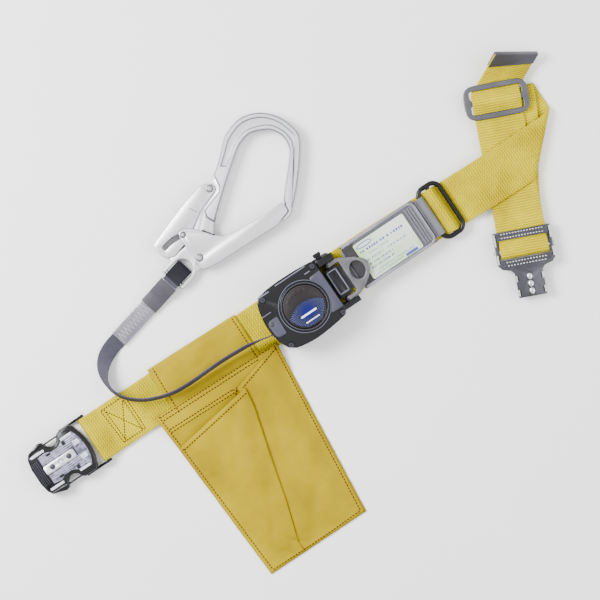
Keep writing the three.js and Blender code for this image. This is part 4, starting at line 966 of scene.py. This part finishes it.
def make_belt_stitches(belt):
    tree = tree_over([belt])
    left, right, top, low = -232.5, -204, 26.5, -13.2
    seams = [
        [(left, top), (left + 2, low)], [(left + 3.4, top), (left + 5.2, low)],
        [(right, top), (right, low)], [(right - 3.2, top), (right - 3.2, low)],
        [(left, top), (right, top)], [(left + 2, low), (right, low)],
        [(left + 4, top - 3), (right - 3, low + 1)], [(right - 4, top - 3), (left + 5, low + 2)],
    ]
    stitches = [stitch for line in seams for stitch in seam(tree, line, 2.8, 0.4)]
    add_stitches("belt_box_stitches", stitches, "belt", 1.0)


# ------------------------------------------------------------------ rigid pieces
def shade_by_angle(mesh, degrees=35):
    mesh.polygons.foreach_set("use_smooth", [True] * len(mesh.polygons))
    mesh.set_sharp_from_angle(angle=math.radians(degrees))


SHARP = math.radians(30)  # edges turned by more than this are rounded over


def dress(node, material, bevel=0.3, segments=2, edge=None, walls=-2.0):
    """Shows a CAD node with its edges rounded over, in a finished material.

    The rounds, and faces that look up less than walls, may have an edge material of their own: a
    darker one, as painted shade on them.
    """
    source = frame["nodes"][node]
    work = bmesh.new()
    work.from_mesh(source.data)
    work.transform(source.matrix_world)
    bmesh.ops.remove_doubles(work, verts=work.verts, dist=1e-6)
    bmesh.ops.dissolve_limit(work, angle_limit=math.radians(0.4), verts=work.verts,
                             edges=work.edges)
    if bevel:
        sharp = [e for e in work.edges
                 if len(e.link_faces) == 2 and e.calc_face_angle(0) > SHARP]
        bmesh.ops.bevel(work, geom=sharp, offset=bevel * MM, offset_type="OFFSET",
                        segments=segments, profile=0.5, affect="EDGES", clamp_overlap=False,
                        material=1 if edge else -1)
    work.normal_update()
    for face in work.faces:
        if face.normal.z < walls:
            face.material_index = 1
    mesh = bpy.data.meshes.new(node + "_finish")
    work.to_mesh(mesh)
    work.free()
    piece = add_object(node + "_finish", mesh, material, body_of(source)[0], smooth=False)
    if edge:
        mesh.materials.append(MATERIALS[edge])
    shade_by_angle(mesh)
    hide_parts(node)
    return piece


def drawn_out(outline, travel, bevel, sharp_from=SHARP, segments=2):
    """An outline in millimetres drawn out by a vector in metres, as a bmesh with softened edges."""
    work = bmesh.new()
    base = [work.verts.new(point * MM) for point in outline]
    made = bmesh.ops.extrude_face_region(work, geom=[work.faces.new(base)])
    moved = [v for v in made["geom"] if isinstance(v, bmesh.types.BMVert)]
    bmesh.ops.translate(work, verts=moved, vec=travel)
    bmesh.ops.recalc_face_normals(work, faces=work.faces)
    if bevel:
        sharp = [e for e in work.edges if e.calc_face_angle(0) > sharp_from]
        bmesh.ops.bevel(work, geom=sharp, offset=bevel * MM, offset_type="OFFSET",
                        segments=segments, profile=0.5, affect="EDGES", clamp_overlap=True)
    return work


def paint(node, material):
    """Gives a CAD node that is hardly seen its material."""
    mesh = frame["nodes"][node].data
    mesh.materials.clear()
    mesh.materials.append(MATERIALS[material])


def prisms(name, outlines, bevel, material, body):
    """Upright prisms (outline, low, high) with softened edges, as one mesh."""
    mesh = bpy.data.meshes.new(name)
    whole = bmesh.new()
    for outline, low, high in outlines:
        base = [Vector((x, y, low)) for x, y in outline]
        work = drawn_out(base, (0, 0, (high - low) * MM), bevel)
        work.to_mesh(mesh)
        work.free()
        whole.from_mesh(mesh)
    whole.to_mesh(mesh)
    whole.free()
    piece = add_object(name, mesh, material, body, smooth=False)
    shade_by_angle(mesh)
    return piece


def rectangle(x0, y0, x1, y1, corner=0.0, steps=5):
    if not corner:
        return [(x0, y0), (x1, y0), (x1, y1), (x0, y1)]
    points = []
    for cx, cy, start in ((x1 - corner, y0 + corner, -90), (x1 - corner, y1 - corner, 0),
                          (x0 + corner, y1 - corner, 90), (x0 + corner, y0 + corner, 180)):
        for k in range(steps + 1):
            angle = math.radians(start + 90 * k / steps)
            points.append((cx + corner * math.cos(angle), cy + corner * math.sin(angle)))
    return points


def circle(x, y, radius, steps):
    return [(x + radius * math.cos(2 * math.pi * k / steps),
             y + radius * math.sin(2 * math.pi * k / steps)) for k in range(steps)]


def tube(name, path, radius, material, body, closed=False, sides=16, flat=1.0):
    """A round bar bent along a path of points in millimetres."""
    path = [Vector(p) for p in path]
    count = len(path)
    points = []
    for i, here in enumerate(path):
        before = path[i - 1] if closed or i else here
        after = path[(i + 1) % count] if closed or i < count - 1 else here
        heading = (after - before).normalized()
        side = heading.cross(Vector((0, 0, 1)))
        side = side.normalized() if side.length > 1e-6 else Vector((1, 0, 0))
        up = side.cross(heading).normalized()
        for k in range(sides):
            angle = 2 * math.pi * k / sides
            points.append(here + side * (radius * math.cos(angle))
                          + up * (flat * radius * math.sin(angle)))
    faces = quads(count, sides, closed=closed) + ([] if closed else caps(count, sides))
    mesh = facing_out(mesh_from(name, points, faces))
    piece = add_object(name, mesh, material, body)
    shade_by_angle(mesh, 50)
    return piece


# ------------------------------------------------------------------ ring, slide and tongue
def make_ring():
    outline = rectangle(RING_LEFT, -23.5, RING_RIGHT, 33.5, 8.4, 9)
    wire = tube("belt_ring_wire", [(x, y, RING_Z) for x, y in outline], RING_R, "wire", "belt",
                closed=True)
    bar = tube("belt_ring_bar", [(RING_MIDDLE, y, RING_Z) for y in (-23.5, -10, 5, 20, 33.5)],
               RING_R - 0.1, "wire", "belt")
    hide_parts("belt_ring")
    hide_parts("belt_ring")


def domes(name, spots, radius, height, material, body, stretch=1.0, turn=0.0):
    """Low round studs on a flat face; each spot is (x, y, z of the face)."""
    points, faces = [], []
    sides, rings = 14, ((1.0, -0.2), (1.0, 0.25), (0.86, 0.62), (0.5, 0.92))
    for x, y, z in spots:
        base = len(points)
        for size, lift in rings:
            for k in range(sides):
                angle = 2 * math.pi * k / sides
                dx, dy = radius * size * math.cos(angle), radius * size * stretch * math.sin(angle)
                points.append((x + dx * math.cos(turn) - dy * math.sin(turn),
                               y + dx * math.sin(turn) + dy * math.cos(turn), z + lift * height))
        points.append((x, y, z + height))
        faces += quads(len(rings), sides, base)
        top = base + (len(rings) - 1) * sides
        faces += [(top + k, top + (k + 1) % sides, len(points) - 1) for k in range(sides)]
        faces.append(tuple(base + k for k in range(sides - 1, -1, -1)))
    add_object(name, facing_out(mesh_from(name, points, faces)), material, body)


def tongue_spots(rows, high):
    spots = []
    for y, half, count in rows:
        for k in range(count):
            point = strap_point(lerp(-half, half, k / (count - 1)), y, high)
            spots.append(tuple(point))
    return spots


def on_both_edges(boxes, low, high):
    """Prisms from boxes (x0, y0, x1, y1) in the strap's frame, and their mirror images."""
    outlines = []
    for x0, y0, x1, y1 in boxes:
        for left, right in ((x0, x1), (-x1, -x0)):
            corners = rectangle(left, y0, right, y1, 0.4)
            outlines.append(([tuple(strap_point(x, y, 0))[:2] for x, y in corners], low, high))
    return outlines


def make_tongue():
    dress("tongue_plate", "steel", 0.3)
    dress("sliding_bar", "rod", 0.35)
    dress("tail_slide", "slide", 0.55, segments=3)
    dress("belt_tip_clip", "tip", 0.3)
    rows = [(2.8, 21, 15), (-1.2, 21, 15), (-26.4, 20, 14), (-30, 19, 13)]
    domes("tongue_knurl", tongue_spots(rows, 11.9), 0.95, 0.45, "bright", "belt",
          0.75, TONGUE_TURN)
    studs = [tuple(strap_point(0, y, 12.0)) for y in (-44, -51.5, -59)]
    domes("tongue_studs", studs, 2.6, 0.8, "bright", "belt", 1.35, TONGUE_TURN)
    rims = [(27.9, -27.5, 29.3, -18), (27.9, -9, 29.3, 3.6), (12.9, -62.5, 14.3, -56),
            (12.9, -48, 14.3, -41.5)]
    prisms("tongue_worn_rims", on_both_edges(rims, 11.3, 11.9), 0.2, "bright", "belt")
    grooves = [(26.7, -27, 27.7, -20), (26.7, -8, 27.7, 3), (11.5, -62, 12.6, -56.5),
               (11.5, -47.5, 12.6, -42)]
    # painted shade: dark strips laid in the tongue's grooves
    prisms("tongue_grooves", on_both_edges(grooves, 11.2, 11.45), 0, "recess", "belt")


# ------------------------------------------------------------------ socket buckle
def both_sides(boxes):
    """Boxes given for the upper half, as (x0, y0, x1, y1, corner) from the belt's middle line."""
    made = []
    for x0, y0, x1, y1, corner in boxes:
        made.append(rectangle(x0, BELT_Y + y0, x1, BELT_Y + y1, corner, 3))
        made.append(rectangle(x0, BELT_Y - y1, x1, BELT_Y - y0, corner, 3))
    return made


def make_buckle():
    dress("buckle_base", "gloss", 0.25)
    dress("buckle_cover", "gloss", 0)
    dress("buckle_centre_plate", "plate", 0.25)
    dress("buckle_web_bar", "rod", 0.2)
    for name in ("buckle_rivet_1", "buckle_rivet_2"):
        dress(name, "dark", 0.35)
    for name in ("buckle_latch_upper", "buckle_latch_lower"):
        dress(name, "black", 0.3)
    for name, fixed_end in (("upper", 16.9), ("lower", -3.9)):
        coil = dress("buckle_spring_" + name, "steel", 0)
        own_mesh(coil)
    top = 14.0  # the cover's upper face
    window = [(-312, 15.2), (-303, 16.4), (-297.5, 13.8), (-290, 13.4), (-284.5, 15.8),
              (-280, 19.8), (-268.5, 19.8), (-265.2, 12), (-264, 4)]
    outline = [(x, BELT_Y + y) for x, y in window] + [(x, BELT_Y - y) for x, y in reversed(window)]
    prisms("buckle_smoke_window", [(outline, top - 0.6, top + 0.35)], 0.2, "smoke",
           "socket_buckle")
    ribs = both_sides([(-311, y, -266 - 0.5 * y, y + 0.8, 0.3) for y in (6.6, 8.6, 10.6)])
    ribs += both_sides([(-279, 12.4, -267.6, 13.2, 0.3), (-279, 14.6, -268, 15.4, 0.3)])
    prisms("buckle_smoke_ribs", [(o, top, top + 0.8) for o in ribs], 0.2, "smoke_rib",
           "socket_buckle")
    pale = both_sides([(-318.5, 17.6, -302.5, 20.2, 0.6), (-282.5, 17.2, -269.5, 19.8, 0.6),
                       (-274, 5.4, -267, 10.4, 0.8)])
    prisms("buckle_pale_bars", [(o, top - 0.3, top + 0.6) for o in pale], 0.2, "pale_bar",
           "socket_buckle")
    grips = [rectangle(x, BELT_Y - 13.5, x + 0.9, BELT_Y + 13.5, 0.4, 3)
             for x in (-321.6, -319.6, -317.6, -315.6)]
    prisms("buckle_grip_ribs", [(o, top - 0.4, top + 0.5) for o in grips], 0.25, "dark_edge",
           "socket_buckle")
    # painted highlight: a pale grey ring round the buckle's centre
    ring = [(x, y, top + 1.35) for x, y in circle(-294, BELT_Y, 2.5, 28)]
    tube("buckle_centre_ring", ring, 0.4, "rim_line", "socket_buckle", closed=True,
         sides=8)
    dark = both_sides([(-311.5, 1.2, -307.8, 5.2, 0.6), (-283.5, 12.2, -279.8, 16.6, 0.5),
                       (-303.5, 11.4, -298.5, 14.2, 0.5)])
    dark += [rectangle(-276.4, BELT_Y - 4.6, -275.2, BELT_Y + 4.6, 0.4, 3)]
    prisms("buckle_dark_blocks", [(o, top - 0.2, top + 0.55) for o in dark], 0.2, "black",
           "socket_buckle")


# ------------------------------------------------------------------ the reel
def arc_band(inner, outer, start, end, steps=24):
    """A flat band between two radii about the reel's axis; angles in degrees."""
    angles = [math.radians(lerp(start, end, k / steps)) for k in range(steps + 1)]
    return ([(outer * math.cos(a), outer * math.sin(a)) for a in angles]
            + [(inner * math.cos(a), inner * math.sin(a)) for a in reversed(angles)])


def ring_band(name, inner, outer, low, high, material, body, steps=96):
    """A turned ring with softened upper edges about the reel's axis."""
    profile = [(inner, low), (inner, high - 0.25), (inner + 0.25, high), (outer - 0.4, high),
               (outer, high - 0.4), (outer, low)]
    points = []
    for k in range(steps):
        angle = 2 * math.pi * k / steps
        points += [(r * math.cos(angle), r * math.sin(angle), z) for r, z in profile]
    mesh = facing_out(mesh_from(name, points, quads(steps, len(profile), closed=True)))
    add_object(name, mesh, material, body)
    shade_by_angle(mesh, 40)


def lens_material():
    """Deep blue with pale rays and dots that spread from its middle."""
    m = Material("face_lens_print")
    spot = m.node("SeparateXYZ", i0=m.place())
    x, y = spot.outputs["X"], m.add(spot.outputs["Y"], 0.0065)
    angle = m.math("ARCTAN2", y, x)
    reach = m.math("SQRT", m.add(m.mul(x, x), m.mul(y, y)))
    rays = m.sine(m.mul(angle, 58))
    rings = m.sine(m.mul(reach, 2 * math.pi / 0.0013))
    dots = m.stretch(0.15, 0.75, m.mul(m.scaled(rays, 0.5, 0.5), m.scaled(rings, 0.5, 0.5)))
    fade = m.stretch(0.004, 0.017, reach)
    glow = m.stretch(0.013, 0.0, reach)
    blue = m.mix(glow, rgb(1, 1, 14), rgb(6, 12, 100))
    return m.finish(
        Base_Color=m.mix(m.mul(dots, m.mul(fade, 0.34)), blue, rgb(150, 165, 245)),
        Roughness=0.25, Specular_IOR_Level=0.25,
    )


def make_reel():
    dress("reel_case", "gloss", 0.3)
    dress("reel_cover", "gloss", 0.25)
    dress("cover_disc", "disc", 0.2)
    dress("face_label", lens_material(), 0)
    dress("exit_guide", "violet", 0.3)
    dress("accent_strip", "violet", 0.25)
    dress("exit_guide_screw", "steel", 0.2)
    for k in range(1, 5):
        dress(f"case_screw_{k}", "dark", 0)
    dress("reel_back_plate", "dark", 0.3)
    dress("lock_button", "gloss", 0.3)
    dress("hinge_block", "black", 0.4)
    dress("hinge_rod", "steel", 0.3)
    dress("d_ring", "cast", 0.5, segments=3)
    for name, material in (("drum", "dark"), ("wound_strap", "strap"), ("drum_shaft", "steel"),
                           ("spiral_spring", "steel")):
        paint(name, material)
    face, cover = 37.8, 35.8  # heights of the bezel and of the cover round it
    # painted highlights: pale grey rings on the bezel
    ring_band("bezel_groove", 23.6, 24.1, face - 0.3, face + 0.25, "rim_line", "belt")
    ring_band("bezel_rim", 26.2, 27.0, cover, face - 0.7, "rim_line", "belt")
    marks = [rectangle(-9.5, -8.9, 9, -7.1, 0.85), rectangle(-8, -15.7, 8, -14.7, 0.45)]
    prisms("face_plain_bars", [(o, 37.05, 37.2) for o in marks], 0, "print_white", "belt")
    emboss = [arc_band(14.2, 19.0, a, a + 15, 8) for a in (46, 66, 86, 106, 126)]
    prisms("disc_plain_blocks", [(o, 37.3, 37.75) for o in emboss], 0.2, "disc", "belt")
    screws = ((-33, -25), (29, -26.5), (28.5, 29.5), (-32, 28.5))
    sockets = [circle(*spot, 1.25, 6) for spot in screws]
    # painted shade: dark hexagons laid in the screw sockets
    prisms("screw_sockets", [(o, 37.1, 37.28) for o in sockets], 0, "recess", "belt")
    # painted highlights: pale lines along the cover's edges
    frames = [rectangle(-42.3, 13.6, -31.5, 14.5, 0.3), rectangle(-36, 31.8, -22, 33.4, 0.7),
              rectangle(-14, 33.2, 22, 34.4, 0.5), rectangle(17.5, 26.5, 24, 27.6, 0.5)]
    prisms("cover_pale_lines", [(o, cover - 0.3, cover + 0.35) for o in frames], 0.2, "rim_line",
           "belt")
    # painted highlights: a pale frame round the hinge block's recess
    block = [rectangle(36.4, -11.2, 47.6, -9.8, 0.4), rectangle(36.4, 14.2, 47.6, 15.6, 0.4),
             rectangle(36.2, -11.2, 37.6, 15.6, 0.4), rectangle(46.4, -11.2, 47.8, 15.6, 0.4)]
    prisms("hinge_block_frame", [(o, 25.6, 26.7) for o in block], 0.25, "rim_line", "belt")


# ------------------------------------------------------------------ the absorber pack
def film_material(name, colour, alpha, rough, shade_before=-1.0):
    """Clear soft plastic, cloudy in places, with painted shade where it lies under the D-ring's
    eye, left of the given x (in metres).
    """
    m = Material(name)
    cloud = m.stretch(0.3, 0.7, m.noise(60, 4))
    spot = m.node("SeparateXYZ", i0=m.place())
    # painted shade: left of the given x the film turns dark grey, opaque and less glossy, standing
    # in for the D-ring's shadow
    under = m.stretch(shade_before + 0.004, shade_before, spot.outputs["X"])
    m.bump(m.noise(140, 3), 0.0009)
    hold = m.scaled(cloud, 0.14, alpha)
    return m.finish(
        Base_Color=m.mix(under, colour, rgb(34, 32, 38)),
        Roughness=m.scaled(cloud, 0.12, rough),
        Alpha=m.math("MAXIMUM", hold, m.mul(under, 0.92)),
        Coat_Weight=m.scaled(under, -0.8, 1.0), Coat_Roughness=0.06)


def label_material():
    """A pale printed card, greener towards its left and lower edges."""
    m = Material("label_card")
    spot = m.node("SeparateXYZ", i0=m.place())
    left = m.stretch(0.118, 0.076, spot.outputs["X"])
    low = m.stretch(0.012, -0.016, spot.outputs["Y"])
    tint = m.mul(m.math("MAXIMUM", left, low), m.stretch(0.2, 0.8, m.noise(90, 3)))
    return m.finish(
        Base_Color=m.mix(tint, rgb(206, 214, 204), rgb(150, 196, 106)),
        Roughness=0.45, Coat_Weight=0.7, Coat_Roughness=0.08)


def folded_webbing_material():
    """The absorber's grey webbing, seen through its cover."""
    m = Material("folded_grey_webbing")
    spot = m.node("SeparateXYZ", i0=m.place())
    turn = 2 * math.pi
    ribs = m.sine(m.mul(spot.outputs["Y"], turn / 0.0016))
    cords = m.sine(m.mul(spot.outputs["X"], turn / 0.0009))
    weave = m.scaled(m.mul(ribs, cords), 0.5, 0.5)
    m.bump(weave, 0.00018)
    shade = m.scaled(weave, 0.5, m.mul(m.noise(50, 3), 0.5))
    return m.finish(
        Base_Color=m.mix(shade, rgb(64, 64, 70), rgb(122, 122, 130)), Roughness=0.55,
        Coat_Weight=0.35, Coat_Roughness=0.15)


LABEL_Z = 19.1
PRINT_ROWS = (  # y of each printed row, its height, where it runs from and to
    (13.6, 2.2, 77, 115), (13.6, 2.6, 117, 128), (8.6, 1.1, 84, 108), (3.4, 1.6, 78, 99),
    (3.4, 1.6, 104, 126), (-1.4, 1.6, 79, 109), (-5.8, 1.8, 79, 108), (-10.4, 0.9, 84, 127),
    (-13.4, 1.0, 79, 113),
)


def printed_rows():
    """Rows of plain dashes where the real card is printed."""
    marks = []
    for y, height, start, end in PRINT_ROWS:
        x = start
        while x < end:
            width = random.uniform(0.5, 1.0) * height
            marks.append((rectangle(x, y - height / 2, min(x + width, end), y + height / 2),
                          LABEL_Z - 0.05, LABEL_Z + 0.03))
            x += width + random.choice((0.4, 0.5, 0.5, 1.3)) * height
    return marks


def oval_ring(x, y, wide, tall, line, steps=36):
    outer = [(x + wide * math.cos(a), y + tall * math.sin(a))
             for a in (2 * math.pi * k / steps for k in range(steps))]
    inner = [(x + (wide - line) * math.cos(a), y + (tall - line) * math.sin(a))
             for a in (2 * math.pi * k / steps for k in range(steps))]
    return [([outer[k], outer[(k + 1) % steps], inner[(k + 1) % steps], inner[k]],
             LABEL_Z - 0.05, LABEL_Z + 0.03) for k in range(steps)]


def make_absorber():
    # the cover film carries painted shade left of x = 73.5 mm, under the D-ring's eye
    film = film_material("clear_cover_film", rgb(88, 90, 98), 0.42, 0.1, 0.0735)
    dress("absorber_cover", film, 0.9, segments=3)
    dress("absorber_label", label_material(), 0.1)
    grey = folded_webbing_material()
    dress("absorber_webbing", grey, 0.5, segments=3)
    prisms("label_print", printed_rows() + oval_ring(85, 19.4, 9.2, 2.7, 1.0)
           + [(rectangle(115, -15.6, 129, -12.6, 0.5), LABEL_Z - 0.05, LABEL_Z + 0.04)],
           0, "print_blue", "belt")
    corners = [(63.5, 28.6), (100, 28.6), (143, 28.6), (147, 26.8), (148.6, 23), (148.6, 5),
               (148.6, -13), (147, -16.8), (143, -18.6), (100, -18.6), (63.5, -18.6)]
    tube("absorber_sealed_edge", [(x, y, 17.6) for x, y in corners], 1.5, "film_edge", "belt",
         flat=0.7)
    bundles = (
        ("absorber_fold", -15.6, 25.6, 1.05, 0.8,
         ((138.4, 18.4), (141.4, 18.5), (144.4, 18.4), (147.2, 17.9))),
        ("absorber_loop_fold", -16.4, 26.4, 0.8, 0.7,
         ((151.6, 15.1), (154.4, 14.0), (157.2, 13.2))),
    )
    for name, near, far, radius, flat, spots in bundles:
        for k, (x, z) in enumerate(spots):
            tube(f"{name}_{k}", [(x, y, z) for y in (near, -8, 0, 9, 18, far)], radius, grey,
                 "belt", flat=flat)


# ------------------------------------------------------------------ the hook
def make_hook():
    # the hook's rounds, and the gate's and lever's steep walls, take the darker edge alloy as
    # painted shade
    shown = [dress("hook_body", "alloy", 0.55, segments=3, edge="alloy_edge")]
    for node in ("gate", "safety_lever"):
        shown.append(dress(node, "alloy", 0.3, edge="alloy_edge", walls=0.6))
    under = tree_over(shown)
    # painted shade: a dark bar laid on the gate where its slit is, and a grey bar along the lever's
    # crease
    marks = (("gate_slit_shade", "gate", (-44.4, 122.6), (-36, 111), 1.3, "recess", "black_plastic"),
             ("lever_crease_shade", "safety_lever", (-42.6, 148.4), (-37.8, 140.4), 0.9, "alloy_edge",
              "aluminium"))
    for name, body, start, end, wide, material, slot in marks:
        start, end = Vector(start), Vector(end)
        side = (end - start).orthogonal().normalized() * (wide / 2)
        high = max(on_top(under, *start.lerp(end, share)) for share in (0.05, 0.5, 0.95))
        outline = [start - side, end - side, end + side, start + side]
        prisms(name, [([tuple(p) for p in outline], high - 0.3, high + 0.06)], 0, material, body)
    for node in ("gate_pin", "gate_rivet", "lever_rivet"):
        # the rounds take the darker slide steel: a painted dark ring of shade round each head
        dress(node, "rod", 0.4, edge="slide")
    paint("gate_spring", "steel")
    heads = (("gate_pin", (-63, 129.5), 3.3, "gate"), ("gate_rivet", (-61.5, 100.5), 4.0, "hook"),
             ("lever_rivet", (-14, 153.5), 4.0, "hook"))
    for name, (x, y), radius, body in heads:
        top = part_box(name)[1][2] / MM
        outline = [(*spot, top + 0.02) for spot in circle(x, y, radius * 0.72, 28)]
        # painted shade: a dark ring round each rivet head
        tube(name + "_ring", outline, 0.36, "recess", body, closed=True, sides=8)


# ------------------------------------------------------------------ what is on the strap
def bar_across(name, profile, half, bevel, material):
    """A side profile in the strap's (u, z) plane, reaching half to each side."""
    across = eye_point(half, 0, 0) - eye_point(-half, 0, 0)
    work = drawn_out([eye_point(-half, u, z) for u, z in profile], across * MM, bevel,
                     math.radians(15), 3)
    mesh = bpy.data.meshes.new(name)
    work.to_mesh(mesh)
    work.free()
    piece = add_object(name, mesh, material, "belt", smooth=False)
    shade_by_angle(mesh)
    return piece


def make_strap_fittings():
    """The clear sleeve, its dark collar, the woven band round the eye and the zigzag seam."""
    film = film_material("clear_sleeve_film", rgb(170, 168, 180), 0.16, 0.14)
    sleeve = dress("wear_sleeve", film, 0.25)
    profile = [(-52, 0.05), (-37, 0.05), (-21, 1.7), (-21, 12.7), (-39.4, 5.3), (-52, 4.9)]
    collar = bar_across("sleeve_collar", profile, 9.9, 0.45, "collar")
    over = LOOP_R + STRAP_THICK / 2 + 0.9
    guard = stations_along(taut_route(end_loop(over, LOOP_BAR - 2.8), 8, 2), 18, towards_eye)
    mesh = ribbon("eye_band", resample(guard, 0.7), 18, 1.2, 0.1, 1.5)
    band = add_object("eye_band", mesh, "band_weave", "belt")
    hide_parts("eye_protector")
    spots = [eye_point(5.2 if k % 2 else -5.2, -95 + 2.1 * k, LAYERS[1] + STRAP_THICK / 2 + 0.05)
             for k in range(21)]
    zigzag = add_stitches("strap_zigzag", list(zip(spots, spots[1:])), "belt",
                          0.5, "pale_thread")
    return [sleeve, collar, band, zigzag]


# ------------------------------------------------------------------ table and end
def make_table():
    mesh = bpy.data.meshes.new("table")
    far = 3.0
    mesh.from_pydata([(-far, -far, 0), (far, -far, 0), (far, far, 0), (-far, far, 0)], [],
                     [(0, 1, 2, 3)])
    table = bpy.data.objects.new("table", mesh)
    bpy.context.collection.objects.link(table)
    m = Material("table_paper")
    fibre = m.noise(700, 4)
    m.bump(fibre, 0.00003)
    colour = m.mix(m.noise(3, 3), (0.93, 0.93, 0.93, 1), (0.97, 0.97, 0.97, 1))
    mesh.materials.append(m.finish(Base_Color=colour, Roughness=0.85))
    table.location.z = -0.0002


make_camera()
make_lights()
make_materials()
make_strap()
belt = make_belt()
make_pouch_stitches(make_pouch())
make_belt_stitches(belt)
make_ring()
make_tongue()
make_buckle()
make_reel()
make_absorber()
make_hook()
make_table()
